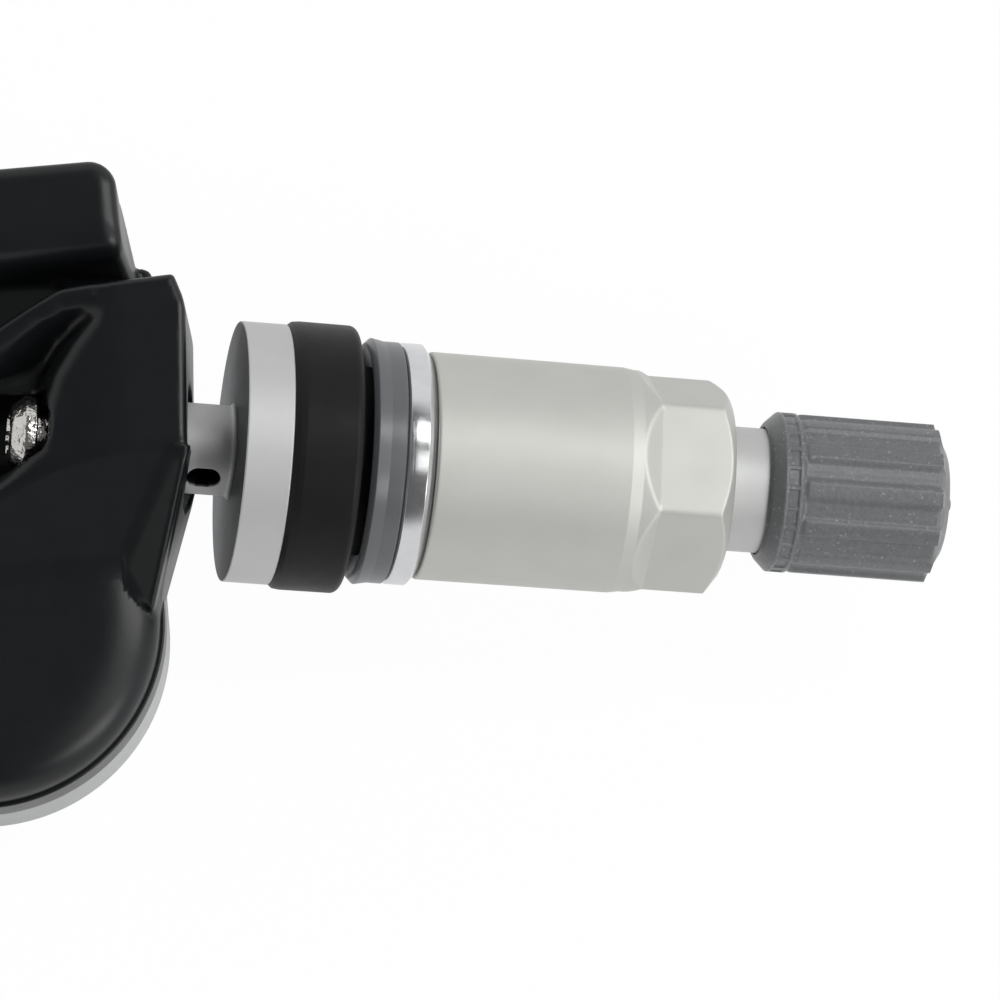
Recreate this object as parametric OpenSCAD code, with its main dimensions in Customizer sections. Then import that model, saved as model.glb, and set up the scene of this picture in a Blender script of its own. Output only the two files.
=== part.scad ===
// Clamp-in tyre pressure sensor: a metal valve that is held in the wheel's valve hole,
// and a moulded sensor body that is screwed to the valve's ball foot inside the tyre.
// The frame: the origin is the middle of the valve hole on the face that the grommet seals,
// +X runs out along the valve, +Z points away from the wheel's barrel, and lengths are millimetres.

/* [Valve stem] */
// Diameter of the tube between the sensor body and the collar
neck_d = 5.6; // [5:0.1:6.2]
// Length from the middle of the ball foot to the collar
neck_len = 6.2; // [6:0.1:8]
// Diameter of the ball foot
ball_d = 7.2; // [6.8:0.1:7.4]
// Diameter of the collar that backs the grommet
collar_d = 16.1; // [14:0.1:18]
// Thickness of the collar
collar_t = 2.9; // [2:0.1:4]
// Diameter of the shank inside the grommet
shank_d = 8.4; // [8:0.1:8.8]
// Diameter of the thread that the nut runs on
nut_thread_d = 9.2; // [9:0.1:9.8]
// Where the nut's thread ends
nut_thread_end = 15.4; // [13:0.1:16]
// Diameter of the standard valve thread that takes the cap and the air chuck
valve_thread_d = 7.75; // [7.6:0.05:7.9]
// Length from the sealed face of the rim to the tip of the stem
stem_tip = 34.6; // [33:0.1:38]
// Diameter of the air passage
air_bore_d = 2.5; // [2.2:0.1:2.8]
// Length of the oval air slot in the neck
slot_len = 2.1; // [1.6:0.1:2.2]
// Width of the oval air slot
slot_w = 1.45; // [1:0.05:1.6]
// Distance from the air slot's middle to the collar
slot_from_collar = 1.8; // [1.6:0.1:2.2]
// Turn of the air slot from straight up
slot_turn = 53; // [0:1:90]

/* [Seals and washers] */
// Diameter of the grommet's flange
grommet_d = 16.6; // [14:0.1:18]
// Thickness of the grommet's flange
grommet_t = 4.3; // [3:0.1:6]
// Diameter of the grommet's shoulder, which fills the valve hole
shoulder_d = 11.7; // [11:0.1:12]
// Height of the grommet's shoulder
shoulder_h = 1.3; // [0.8:0.1:2]
// Rounding of the grommet's rim
grommet_round = 0.9; // [0.2:0.1:1.5]
// Diameter of the two washers
washer_d = 14.9; // [13.5:0.1:16]
// Thickness of the plastic slip washer at its bore
slip_washer_t = 1.35; // [1:0.05:2]
// How far the slip washer's rim stands forward of its bore
slip_washer_dish = 0.75; // [0:0.05:1]
// Thickness of the metal washer
nut_washer_t = 1.95; // [1:0.05:3]

/* [Nut] */
// Diameter of the nut's skirt where it meets the washer
skirt_d = 14.1; // [13.9:0.1:15]
// Diameter of the skirt at the hexagon
skirt_end_d = 14; // [13.9:0.1:14.8]
// Length of the skirt
skirt_len = 12.1; // [10:0.1:13]
// Length of the nut
nut_len = 18.8; // [17:0.1:20]
// Width across the flats of the hexagon
hex_af = 12; // [11:0.5:13]
// Length over which the milled flats run out into the skirt
flat_runout = 1.35; // [0.8:0.05:2]
// Chamfer at the end of the hexagon
hex_chamfer = 0.9; // [0.3:0.1:1.2]
// Turn of the hexagon from a flat that faces up
hex_turn = 2; // [0:1:59]

/* [Valve core] */
// Diameter of the core's threaded head
core_thread_d = 5.2; // [5:0.05:5.3]
// Length of the core's threaded head
core_head_len = 4.2; // [3:0.1:5]
// Depth of the core's head below the stem's tip
core_depth = 1.2; // [0.8:0.1:2]
// Diameter of the core's barrel
core_barrel_d = 3.5; // [3.2:0.1:3.8]
// Length of the core's barrel
core_barrel_len = 8.7; // [8:0.1:10]
// Diameter of the core's pin
pin_d = 0.9; // [0.8:0.05:1.1]
// Travel of the pin when it is pushed
pin_travel = 1; // [0.5:0.1:1.2]
// Wire of the core's spring
spring_wire = 0.28; // [0.2:0.02:0.34]
// Turns of the core's spring
spring_turns = 6; // [4:1:8]

/* [Cap] */
// Thickness of the cap's wall over its ribs
cap_wall = 0.95; // [0.8:0.05:1.5]
// Length of the cap's side
cap_len = 11.8; // [10:0.1:13]
// Distance from the nut to the cap's mouth
cap_gap = 2.45; // [1:0.05:3]
// Number of ribs around the cap
cap_ribs = 12; // [8:1:16]
// Depth of the grooves between the ribs
rib_depth = 0.4; // [0.2:0.05:0.6]
// Length of the plain ring at the cap's mouth
cap_ring_len = 2; // [1:0.1:3]
// Rise of the domed end
cap_dome = 1; // [0.5:0.1:2.5]

/* [Foot screw] */
// Diameter of the screw's head
screw_head_d = 4.9; // [4.4:0.1:5.2]
// Height of the screw's head
screw_head_h = 1.6; // [1.2:0.1:2.4]
// Diameter of the screw's shank
screw_d = 2.9; // [2.5:0.1:3]
// Length of the screw's shank
screw_len = 8.4; // [7:0.1:9]
// Distance from the ball's middle to the underside of the screw's head
screw_seat = 6; // [5.4:0.1:7]

/* [Sensor body] */
// Angle by which the valve droops from the plane of the base
droop = 10.5; // [0:0.5:20]
// Angle by which the body is swung about its own height
swing = 7; // [0:0.5:12]
// Largest droop that the ball seat allows
droop_max = 17; // [15:1:18]
// Gap between the coin cell and the body's side wall
cell_gap = 0.3; // [0.2:0.05:0.8]
// Distance from the ball's middle to the outside of the far end
body_far = 17.1; // [16.5:0.1:19]
// Distance from the ball's middle to the body's side wall
body_side = 1.2; // [0.8:0.1:2]
// Distance from the ball's middle to the coin cell's near edge
cell_clear = 0.1; // [0:0.1:1]
// Radius of the two far corners
corner_r = 1.7; // [1:0.1:3]
// Depth from the ball's middle to the underside of the base
base_depth = 8.5; // [8:0.1:10]
// Depth from the ball's middle to the seam
seam_depth = 4.4; // [4:0.1:4.8]
// Depth from the ball's middle to the lip where the round edge starts
lip_depth = 2.15; // [1.8:0.05:2.6]
// Height of the flat top above the ball's middle
deck_h = 0.5; // [0.2:0.1:1]
// Width of the rolled edge
roll_w = 3; // [2:0.1:4]
// Width of the lip around the rolled edge
lip_w = 0.25; // [0.1:0.05:0.5]
// Height of the block and the cradle above the ball's middle
block_h = 5; // [4.8:0.1:6]
// Length of the block at the far end
block_len = 7.2; // [6:0.1:7.4]
// Wall thickness of the body
wall = 1.2; // [1:0.1:1.6]
// Thickness of the base's floor
floor_t = 1; // [0.8:0.1:1.4]

/* [Cradle] */
// How far the cradle stands out past the body's side wall
cradle_out = 3; // [2:0.1:3.4]
// Far edge of the cradle from the valve's axis
cradle_far = 9.3; // [8.5:0.1:9.4]
// Near edge of the cradle's flat top from the valve's axis
cradle_near = 1.35; // [1:0.05:2.6]
// Foot of the cradle's long slope from the valve's axis
slope_foot = 7.7; // [7:0.1:8.5]
// Near end of the cradle's low leg from the valve's axis
leg_end = 10.2; // [9.4:0.1:11]
// Place across the body where the wings start to fall
crest_x = -4; // [-5:0.1:-3]
// Angle at which the wings fall towards the open side
crest_fall = 19.3; // [15:0.1:25]
// Rounding of the cradle's edges
cradle_round = 0.8; // [0.4:0.1:1]
// How far the pocket's walls lean outwards over their height
pocket_lean = 1.2; // [0.5:0.1:1.6]
// Gap around the screw's head in the way cut for it
head_gap = 0.3; // [0.2:0.05:0.6]

/* [Inside the body] */
// Thickness of the circuit board
board_t = 0.8; // [0.6:0.1:1]
// Height of the pads under the board
pad_h = 0.5; // [0.3:0.1:0.8]
// Diameter of the coin cell
cell_d = 20; // [18:0.1:20]
// Height of the coin cell
cell_h = 3.2; // [2.5:0.1:3.4]
// Thickness of the welded tabs
tab_t = 0.15; // [0.1:0.05:0.25]
// Side of the pressure chip
chip_w = 5; // [4:0.1:6]
// Height of the pressure chip
chip_h = 1.9; // [1.2:0.1:2.2]
// Diameter of the air port in the deck
port_d = 1.6; // [1:0.1:2]
// Side of the radio chip
radio_w = 4; // [3:0.1:5]
// Length of the crystal's can
crystal_len = 3.2; // [2.5:0.1:4]
// Length of the wake-up coil's ferrite core
coil_len = 8; // [6:0.1:9]
// Width of the antenna strip
antenna_strip = 0.5; // [0.3:0.1:0.8]

/* [Hidden] */
$fn = 64;

// Clearances
slip = 0.03;
thread_fit = 0.08;
ball_fit = 0.08;
big = 100;

// Stations along the valve, from the face that the grommet seals
collar_back = -grommet_t - collar_t;
ball_x = collar_back - neck_len;
slot_x = collar_back - slot_from_collar;
washer_bore_x = shoulder_h + 0.1;
slip_washer_end = washer_bore_x + slip_washer_t;
nut_start = slip_washer_end + nut_washer_t;
nut_end = nut_start + nut_len;
cap_start = nut_end + cap_gap;
cap_end = cap_start + cap_len - cap_dome;
washer_bore_r = nut_thread_d / 2 + thread_fit + 0.02;
nut_end_bore_r = valve_thread_d / 2 + 0.3;
nut_bore_len = nut_thread_end - nut_start + 1.2;
cap_bore_r = valve_thread_d / 2 + thread_fit;
cap_r = cap_bore_r + cap_wall;
seal_t = 0.8;
cap_floor = stem_tip + seal_t + 0.1;

// Valve core, from the tip inwards
core_head_x = stem_tip - core_depth;
core_barrel_x = core_head_x - core_head_len;
core_end_x = core_barrel_x - core_barrel_len;
chamber_r = core_thread_d / 2 + 0.04;
seat_r = core_barrel_d / 2 + 0.4;
well_r = core_barrel_d / 2 + 0.2;
gasket_x = core_barrel_x - 3.4;
gasket_len = 1.6;
spring_x = core_end_x + 2;
spring_end_x = core_barrel_x - 1.6;
spring_room_r = core_barrel_d / 2 - 0.42;
spring_r = spring_room_r - spring_wire / 2 - 0.04;
pin_collar_t = 0.5;
pin_tip_x = stem_tip - 0.5;
plunger_t = 1;
pin_seal_t = 0.4;
plunger_x = core_end_x - pin_seal_t - plunger_t - 0.02;

// Screw
tap_r = screw_d / 2 + 0.05;
tap_len = 2.6;
web_r = screw_seat - 0.05;
recess_r = screw_head_d * 0.27;

// Sensor body, in its own frame with the ball's middle at the origin
end_r = cell_d / 2 + cell_gap + wall;
body_w = 2 * end_r;
cell_x = body_side - end_r;
cell_y = -cell_clear - cell_d / 2;
far_y = body_far;
body_straight = far_y - cell_y;
roll_h = deck_h + lip_depth;
mouth_r = ball_d / 2 + 0.2;
cradle_x = body_side + cradle_out;
chin_z = -seam_depth - 0.6;
wing_end = crest_x - (block_h - deck_h) / tan(crest_fall);
slope_run = slope_foot - cradle_near;
block_front = far_y - block_len;
socket_r = ball_d / 2 + ball_fit;
keep_r = socket_r + wall;
keep_near = -keep_r - 0.6;
keep_w = 2 * keep_r + 1.8;
seat_keep_w = 2 * keep_r + 4.4;
seat_keep_x = cell_x - 2;
swing_up = droop_max - droop;
swing_down = droop;
droop_swing = swing_up > swing_down ? swing_up : swing_down;
slot_half = tap_r + web_r * sin(droop_swing);
head_r = screw_head_d / 2;
head_reach = screw_seat + screw_head_h;
head_way_r = head_r + head_gap;
web_flat = web_r * cos(droop_swing) - head_r * sin(droop_swing);

// Inside the body
floor_z = -base_depth + floor_t;
board_z = floor_z + pad_h;
board_top = board_z + board_t;
part_gap = 0.05;
cell_bottom = floor_z + tab_t + part_gap;
cell_top = cell_bottom + cell_h;
cell_room = cell_d / 2 + 0.4;
cell_edge_y = -cell_clear;
tab_reach = 1.6;
roof_z = cell_top + tab_t + part_gap;
chip_x = cell_x - 6;
chip_y = cell_edge_y + 8.4;
radio_x = chip_x + chip_w / 2 + radio_w / 2 + 2.5;
crystal_x = radio_x + radio_w / 2 + crystal_len / 2 + 1;
coil_y = far_y - wall - 4.3;
coil_x = chip_x - 1.4;
coil_h = 2.8;
coil_cheek = 1;
coil_bar = 1;
antenna_y = far_y - wall - antenna_strip - 0.4;
deck_under = deck_h - wall;

// Solid of revolution about the valve: each point is a radius and a place along the valve
module turned(points) {
    rotate([0, 90, 0]) rotate_extrude() polygon(points);
}

// A round bar along the valve from one place to another
module bar(r, from, to) {
    translate([from, 0, 0]) rotate([0, 90, 0]) cylinder(r = r, h = to - from);
}

// Places what is modelled in the sensor body's own frame
module on_body() {
    translate([ball_x, 0, 0]) rotate([0, -droop, 0]) rotate([0, 0, swing]) children();
}

// The oval air slot, milled through one side of the neck
module air_slot() {
    half = (slot_len - slot_w) / 2;
    rotate([slot_turn, 0, 0]) translate([slot_x, 0, 0]) {
        for (side = [-1, 1]) translate([side * half, 0, 0]) cylinder(d = slot_w, h = neck_d);
        translate([-half, -slot_w / 2, 0]) cube([2 * half, slot_w, neck_d]);
    }
}

// Turned stem: ball foot, slotted neck, collar, shank and the two threads
module valve_stem() {
    foot_flat = ball_x - ball_d / 2 + 0.35;
    blend = 0.4;
    chamfer = 0.5;
    color("silver") difference() {
        union() {
            difference() {
                translate([ball_x, 0, 0]) rotate([0, 90, 0])
                    rotate_extrude() intersection() {
                        circle(d = ball_d);
                        translate([0, -ball_d]) square([ball_d, 2 * ball_d]);
                    }
                translate([foot_flat - ball_d, -ball_d, -ball_d]) cube([ball_d, 2 * ball_d, 2 * ball_d]);
            }
            turned([
                [0, ball_x], [neck_d / 2, ball_x], [neck_d / 2, collar_back - blend],
                [neck_d / 2 + blend, collar_back], [collar_d / 2 - 0.15, collar_back],
                [collar_d / 2, collar_back + 0.15], [collar_d / 2, -grommet_t - 0.15],
                [collar_d / 2 - 0.15, -grommet_t], [shank_d / 2, -grommet_t],
                [shank_d / 2, shoulder_h], [nut_thread_d / 2, shoulder_h + 0.4],
                [nut_thread_d / 2, nut_thread_end - 0.4], [valve_thread_d / 2, nut_thread_end],
                [valve_thread_d / 2, stem_tip - chamfer], [valve_thread_d / 2 - chamfer, stem_tip],
                [0, stem_tip]
            ]);
        }
        air_slot();
        bar(tap_r, ball_x - ball_d, ball_x + tap_len);
        bar(air_bore_d / 2, ball_x, core_end_x);
        bar(well_r, plunger_x - pin_travel - 1, stem_tip + 1);
        turned([
            [0, gasket_x - 0.6], [well_r, gasket_x - 0.6], [seat_r, gasket_x],
            [seat_r, core_barrel_x - 0.3], [chamber_r, core_barrel_x], [chamber_r, stem_tip + 1],
            [0, stem_tip + 1]
        ]);
    }
}

// Rubber grommet: a thick flange against the collar and a shoulder that fills the valve hole
module rubber_grommet() {
    bore = shank_d / 2 + slip;
    arc_steps = 5;
    color([0.13, 0.13, 0.14]) turned(concat(
        [[bore, -grommet_t], [grommet_d / 2 - 0.2, -grommet_t], [grommet_d / 2, -grommet_t + 0.2]],
        [for (i = [0:arc_steps]) let (a = 90 * i / arc_steps)
            [grommet_d / 2 - grommet_round * (1 - cos(a)), -grommet_round * (1 - sin(a))]],
        [[shoulder_d / 2 + 0.3, 0], [shoulder_d / 2, 0.3], [shoulder_d / 2, shoulder_h - 0.3],
         [shoulder_d / 2 - 0.3, shoulder_h], [bore, shoulder_h]]
    ));
}

// Plastic slip washer with a dished face that takes the grommet's shoulder
module slip_washer() {
    color([0.48, 0.49, 0.5]) turned([
        [washer_bore_r, washer_bore_x], [shoulder_d / 2 + 0.05, washer_bore_x],
        [washer_d / 2 - 0.55, washer_bore_x - slip_washer_dish],
        [washer_d / 2 - 0.4, washer_bore_x - slip_washer_dish],
        [washer_d / 2, washer_bore_x - slip_washer_dish + 0.45],
        [washer_d / 2, slip_washer_end], [washer_bore_r, slip_washer_end]
    ]);
}

// Bright metal washer under the nut
module nut_washer() {
    color([0.85, 0.85, 0.86]) turned([
        [washer_bore_r, slip_washer_end], [washer_d / 2 - 0.1, slip_washer_end],
        [washer_d / 2, slip_washer_end + 0.1], [washer_d / 2, nut_start - 0.4],
        [washer_d / 2 - 0.55, nut_start], [washer_bore_r, nut_start]
    ]);
}

// One milled flat of the hexagon, with its sloping run-out into the skirt
module hex_flat() {
    runout_x = nut_start + skirt_len + 0.65;
    flat_x = runout_x + flat_runout;
    rotate([90, 0, 0]) translate([0, 0, -skirt_d / 2]) linear_extrude(skirt_d) polygon([
        [runout_x, skirt_end_d / 2], [flat_x, hex_af / 2], [nut_end + 1, hex_af / 2],
        [nut_end + 1, skirt_d], [runout_x, skirt_d]
    ]);
}

// Long nut: a plain skirt over the thread, and a hexagon at the outer end
module valve_nut() {
    corner_r = hex_af / 2 / cos(30);
    skirt_end = nut_start + skirt_len;
    color([0.8, 0.8, 0.77]) difference() {
        turned([
            [0, nut_start], [skirt_d / 2 - 0.2, nut_start], [skirt_d / 2, nut_start + 0.2],
            [skirt_end_d / 2, skirt_end], [skirt_end_d / 2 - 0.08, skirt_end + 0.7],
            [corner_r - 0.05, skirt_end + 1.7],
            [corner_r - 0.05, nut_end - hex_chamfer],
            [hex_af / 2 - 0.3, nut_end - 0.12], [hex_af / 2 - 0.5, nut_end], [0, nut_end]
        ]);
        for (i = [0:5]) rotate([60 * i - hex_turn, 0, 0]) hex_flat();
        turned([
            [0, nut_start - 1], [nut_thread_d / 2 + thread_fit, nut_start - 1],
            [nut_thread_d / 2 + thread_fit, nut_start + nut_bore_len],
            [nut_end_bore_r, nut_start + nut_bore_len + 0.6], [nut_end_bore_r, nut_end + 1],
            [0, nut_end + 1]
        ]);
    }
}

// Outline of the ribbed cap: a round core with one half-round rib for each groove between them
module cap_section() {
    rib_r = PI * cap_r / cap_ribs * 0.8;
    union() {
        circle(r = cap_r - rib_depth);
        for (i = [0:cap_ribs - 1]) rotate(360 / cap_ribs * i)
            translate([cap_r - rib_r, 0]) circle(r = rib_r, $fn = 32);
    }
}

// Plastic cap: a ring at its mouth, ribs for the fingers and a domed end with a small nib
module valve_cap() {
    ring_end = cap_start + cap_ring_len;
    windows = 2 * cap_ribs;
    cone = 0.8;
    nib = 0.35;
    dome_steps = 6;
    dome_r = cap_r - 0.5;
    color([0.42, 0.43, 0.43]) difference() {
        union() {
            difference() {
                turned([
                    [0, cap_start], [cap_r - 0.9, cap_start], [cap_r - 0.1, cap_start + cone],
                    [cap_r - 0.1, ring_end], [0, ring_end]
                ]);
                for (i = [0:windows - 1]) rotate([360 / windows * i, 0, 0])
                    translate([cap_start + cone + 0.2, -0.4, cap_r - 0.25])
                        cube([cap_ring_len - cone - 0.45, 0.8, 1]);
            }
            intersection() {
                translate([ring_end, 0, 0]) rotate([0, 90, 0])
                    linear_extrude(cap_end + cap_dome - ring_end) cap_section();
                turned(concat(
                    [[0, ring_end - 1], [cap_r, ring_end - 1], [cap_r, cap_end - 0.5]],
                    [for (i = [0:dome_steps]) let (a = 90 * i / dome_steps)
                        [dome_r * cos(a), cap_end + cap_dome * sin(a)]]
                ));
            }
            turned([
                [0, cap_end], [0.9, cap_end], [0.25, cap_end + cap_dome + nib],
                [0, cap_end + cap_dome + nib]
            ]);
        }
        bar(cap_bore_r, cap_start - 1, cap_floor);
    }
}

// Rubber washer in the bottom of the cap
module cap_seal() {
    color([0.15, 0.15, 0.15]) turned([
        [valve_thread_d / 2 - 2, cap_floor - seal_t], [cap_bore_r - 0.05, cap_floor - seal_t],
        [cap_bore_r - 0.05, cap_floor], [valve_thread_d / 2 - 2, cap_floor]
    ]);
}

// Brass valve core: a threaded head with a bridge for the pin, and a barrel for the spring
module core_body() {
    head_r = core_thread_d / 2 - 0.02;
    bridge_w = 1.8;
    bridge_t = 1;
    leg_len = 1.6;
    color([0.8, 0.66, 0.35]) difference() {
        turned([
            [0, core_end_x], [core_barrel_d / 2 - 0.3, core_end_x],
            [core_barrel_d / 2, core_end_x + 0.3], [core_barrel_d / 2, core_barrel_x],
            [head_r, core_barrel_x + 0.3], [head_r, core_head_x], [0, core_head_x]
        ]);
        bar(pin_d / 2 + 0.1, core_end_x - 1, core_head_x + 1);
        bar(spring_room_r, spring_x, core_head_x - bridge_t);
        for (side = [-1, 1]) translate([
            core_head_x - bridge_t - leg_len, side > 0 ? bridge_w / 2 : -bridge_w / 2 - core_thread_d,
            -core_thread_d
        ]) cube([bridge_t + leg_len + 1, core_thread_d, 2 * core_thread_d]);
        turned([
            [core_barrel_d / 2 - 0.2, gasket_x], [core_barrel_d, gasket_x],
            [core_barrel_d, gasket_x + gasket_len], [core_barrel_d / 2 - 0.2, gasket_x + gasket_len]
        ]);
    }
}

// Sealing ring in the groove of the core's barrel
module core_gasket() {
    color([0.75, 0.2, 0.15]) turned([
        [core_barrel_d / 2 - 0.2 + slip, gasket_x + slip], [well_r - slip, gasket_x + slip],
        [seat_r - slip, gasket_x + 0.4], [seat_r - slip, gasket_x + gasket_len - slip],
        [core_barrel_d / 2 - 0.2 + slip, gasket_x + gasket_len - slip]
    ]);
}

// Pin that opens the core: a plunger below the barrel and a collar that the spring lifts
module core_pin() {
    color([0.82, 0.8, 0.75]) turned([
        [0, plunger_x], [core_barrel_d / 2 - 0.1, plunger_x],
        [core_barrel_d / 2 - 0.1, plunger_x + plunger_t], [pin_d / 2, plunger_x + plunger_t],
        [pin_d / 2, spring_end_x], [spring_room_r - 0.08, spring_end_x],
        [spring_room_r - 0.08, spring_end_x + pin_collar_t], [pin_d / 2, spring_end_x + pin_collar_t],
        [pin_d / 2, pin_tip_x - 0.2], [pin_d / 2 - 0.2, pin_tip_x], [0, pin_tip_x]
    ]);
}

// Rubber disc on the plunger, which closes the barrel's lower end
module pin_seal() {
    color([0.15, 0.15, 0.15]) turned([
        [pin_d / 2 + slip, plunger_x + plunger_t], [core_barrel_d / 2 - 0.15, plunger_x + plunger_t],
        [core_barrel_d / 2 - 0.15, plunger_x + plunger_t + pin_seal_t],
        [pin_d / 2 + slip, plunger_x + plunger_t + pin_seal_t]
    ]);
}

// One ring of points around the spring's wire at a turn angle
function spring_ring(turn, x, sides) = [
    for (s = [0:sides - 1]) let (b = 360 * s / sides, r = spring_r + spring_wire / 2 * cos(b))
        [x + spring_wire / 2 * sin(b), r * cos(turn), r * sin(turn)]
];

// Coil spring that lifts the pin
module core_spring() {
    sides = 6;
    rings = 14 * spring_turns;
    start = spring_x + spring_wire / 2;
    rise = spring_end_x - spring_x - spring_wire;
    points = [for (i = [0:rings]) each
        spring_ring(360 * spring_turns * i / rings, start + rise * i / rings, sides)];
    sideways = [for (i = [0:rings - 1], s = [0:sides - 1])
        [i * sides + s, i * sides + (s + 1) % sides,
         (i + 1) * sides + (s + 1) % sides, (i + 1) * sides + s]];
    ends = [[for (s = [sides - 1:-1:0]) s], [for (s = [0:sides - 1]) rings * sides + s]];
    color([0.7, 0.7, 0.72]) polyhedron(points = points, faces = concat(sideways, ends));
}

// Outline of the screw's six-lobed drive
module star_recess() {
    lobe_r = recess_r * 0.28;
    circle(r = recess_r * 0.76);
    for (i = [0:5]) rotate(60 * i) translate([recess_r - lobe_r, 0]) circle(r = lobe_r, $fn = 24);
}

// Pan-head screw that draws the ball foot into its seat
module foot_screw() {
    under = ball_x - screw_seat;
    head_steps = 4;
    crown = screw_head_h * 0.55;
    recess = screw_head_h * 0.7;
    color([0.86, 0.85, 0.83]) difference() {
        turned(concat(
            [[0, under + screw_len], [screw_d / 2 - 0.3, under + screw_len],
             [screw_d / 2, under + screw_len - 0.3], [screw_d / 2, under],
             [screw_head_d / 2, under]],
            [for (i = [0:head_steps]) let (a = 90 * i / head_steps)
                [screw_head_d / 2 - crown * (1 - cos(a)),
                 under - (screw_head_h - crown) - crown * sin(a)]],
            [[0, under - screw_head_h]]
        ));
        translate([under - screw_head_h - 1, 0, 0]) rotate([0, 90, 0])
            linear_extrude(recess + 1) star_recess();
    }
}

// Plan of the sensor body, drawn in from its side walls by an inset
module plan(inset) {
    r = end_r - inset;
    c = corner_r - inset > 0.3 ? corner_r - inset : 0.3;
    translate([cell_x, cell_y]) circle(r = r, $fn = 96);
    translate([cell_x - r, cell_y]) square([2 * r, far_y - inset - c - cell_y]);
    translate([cell_x - r + c, cell_y]) square([2 * (r - c), far_y - inset - cell_y]);
    for (side = [-1, 1]) translate([cell_x + side * (r - c), far_y - inset - c]) circle(r = c);
}

// Half of the deck's cross-section: flat in the middle and rolled down to the lip
function deck_profile(inset, low, steps = 6) = concat(
    [[0, low], [end_r - lip_w - inset, low]],
    [for (i = [0:steps]) let (a = 90 * i / steps)
        [end_r - lip_w - inset - roll_w * (1 - cos(a)), -lip_depth + (roll_h - inset) * sin(a)]],
    [[0, deck_h - inset]]
);

// Rolled deck over the whole plan: revolved at the round end and run straight along the sides
module deck(inset, low) {
    half = deck_profile(inset, low);
    mirrored = [for (i = [len(half) - 1:-1:0]) [-half[i][0], half[i][1]]];
    translate([cell_x, cell_y, 0]) rotate_extrude($fn = 96) polygon(half);
    translate([cell_x, cell_y, 0]) rotate([90, 0, 180])
        linear_extrude(body_straight - (inset > 0 ? inset : 0.2)) polygon(concat(half, mirrored));
}

// A ball at a corner of a rounded form
module knob(at, r) {
    translate(at) sphere(r = r, $fn = 24);
}

// Block at the far end, with drafted sides and a sloping front
module block() {
    draft = 0.65;
    slope = 1.4;
    top = block_h - corner_r;
    left = cell_x - end_r + corner_r;
    right = cell_x + end_r - corner_r;
    back = far_y - corner_r;
    hull() {
        for (x = [left + draft, right - draft], y = [block_front + corner_r + slope, back])
            knob([x, y, top], corner_r);
        for (x = [left, right], y = [block_front + corner_r, back]) translate([x, y, -lip_depth])
            cylinder(r = corner_r, h = 0.2, $fn = 24);
    }
}

// Rounds the outer corners of a flat outline
module eased(r) {
    offset(r = r) offset(delta = -r) children();
}

// Plan of the cradle: its far wall, the face that the valve leaves, and the leg at the near end
module cradle_plan() {
    face_lean = 0.4;
    corner = 2;
    wing_x = -3.6;
    wing_slant = 0.47;
    far = cradle_far - 0.25;
    leg_w = 2.1;
    eased(cradle_round) polygon([
        [cradle_x, cradle_far - corner], [cradle_x - 0.7, cradle_far], [wing_x, far],
        [wing_end, far + wing_slant * (wing_end - wing_x)], [wing_end, -slope_foot],
        [body_side - leg_w, -slope_foot], [body_side - leg_w, -leg_end + 0.9],
        [body_side - 1.1, -leg_end], [body_side - 0.1, -leg_end + 0.8],
        [cradle_x - face_lean, -cradle_near - 0.4]
    ]);
}

// Cradle from the side: a flat top and a long slope down to the deck
module cradle_side() {
    leg_top = deck_h + 0.1;
    eased(cradle_round) polygon([
        [cradle_far + 1, chin_z], [cradle_far + 1, block_h], [-cradle_near, block_h],
        [-cradle_near - slope_run, leg_top], [-leg_end - 1, leg_top], [-leg_end - 1, chin_z]
    ]);
}

// Cradle from the end: a flat top whose wings fall towards the open side
module cradle_front() {
    eased(cradle_round) polygon([
        [cradle_x + 2, chin_z], [cradle_x + 2, block_h], [crest_x, block_h],
        [wing_end, deck_h], [wing_end, chin_z]
    ]);
}

// Raised cradle around the ball seat, where its three outlines meet, with a small lug beside it
module cradle() {
    lug_r = 0.75;
    lug_h = 2;
    intersection() {
        translate([0, 0, chin_z]) linear_extrude(block_h - chin_z) cradle_plan();
        translate([-big / 2, 0, 0]) rotate([90, 0, 90]) linear_extrude(big) cradle_side();
        translate([0, big / 2, 0]) rotate([90, 0, 0]) linear_extrude(big) cradle_front();
    }
    translate([body_side + 0.1, cradle_far + 1.6, -seam_depth + 0.2]) cylinder(r = lug_r, h = lug_h);
}

// One stage of the pocket's groove: a cone that stands on its point
module groove_stage(at, r, low) {
    tip_r = 0.2;
    translate([at[0], at[1], low]) cylinder(r1 = tip_r, r2 = r, h = block_h + 0.2 - low, $fn = 32);
}

// Pocket for the screw's head, open upwards and along the driver's path, with leaning walls
// and a groove that curls round the seat and runs out in the top
module pocket() {
    open_x = wing_end - 8;
    hull() {
        translate([0, 0, block_h]) linear_extrude(1) channel(0, open_x);
        translate([0, 0, deck_h]) linear_extrude(0.1) channel(pocket_lean, open_x - 1);
    }
    hull() {
        groove_stage([-6.6, 3.6], 2.4, deck_h);
        groove_stage([-4, 6.1], 1.4, deck_h + 2.1);
    }
    hull() {
        groove_stage([-4, 6.1], 1.4, deck_h + 2.1);
        groove_stage([-1.9, 7.45], 0.6, block_h - 0.6);
    }
}

// Plan of the channel between the wings, drawn in by an inset
module channel(inset, open_x) {
    offset(delta = -inset) polygon([
        [-4.5, 2.4], [-5, 0.2], [-5.3, -0.75], [-8.35, -2.6], [-14.5, -4.8], [open_x, -6],
        [open_x, 7], [-9, 5.3], [-7.2, 5.3]
    ]);
}

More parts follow.
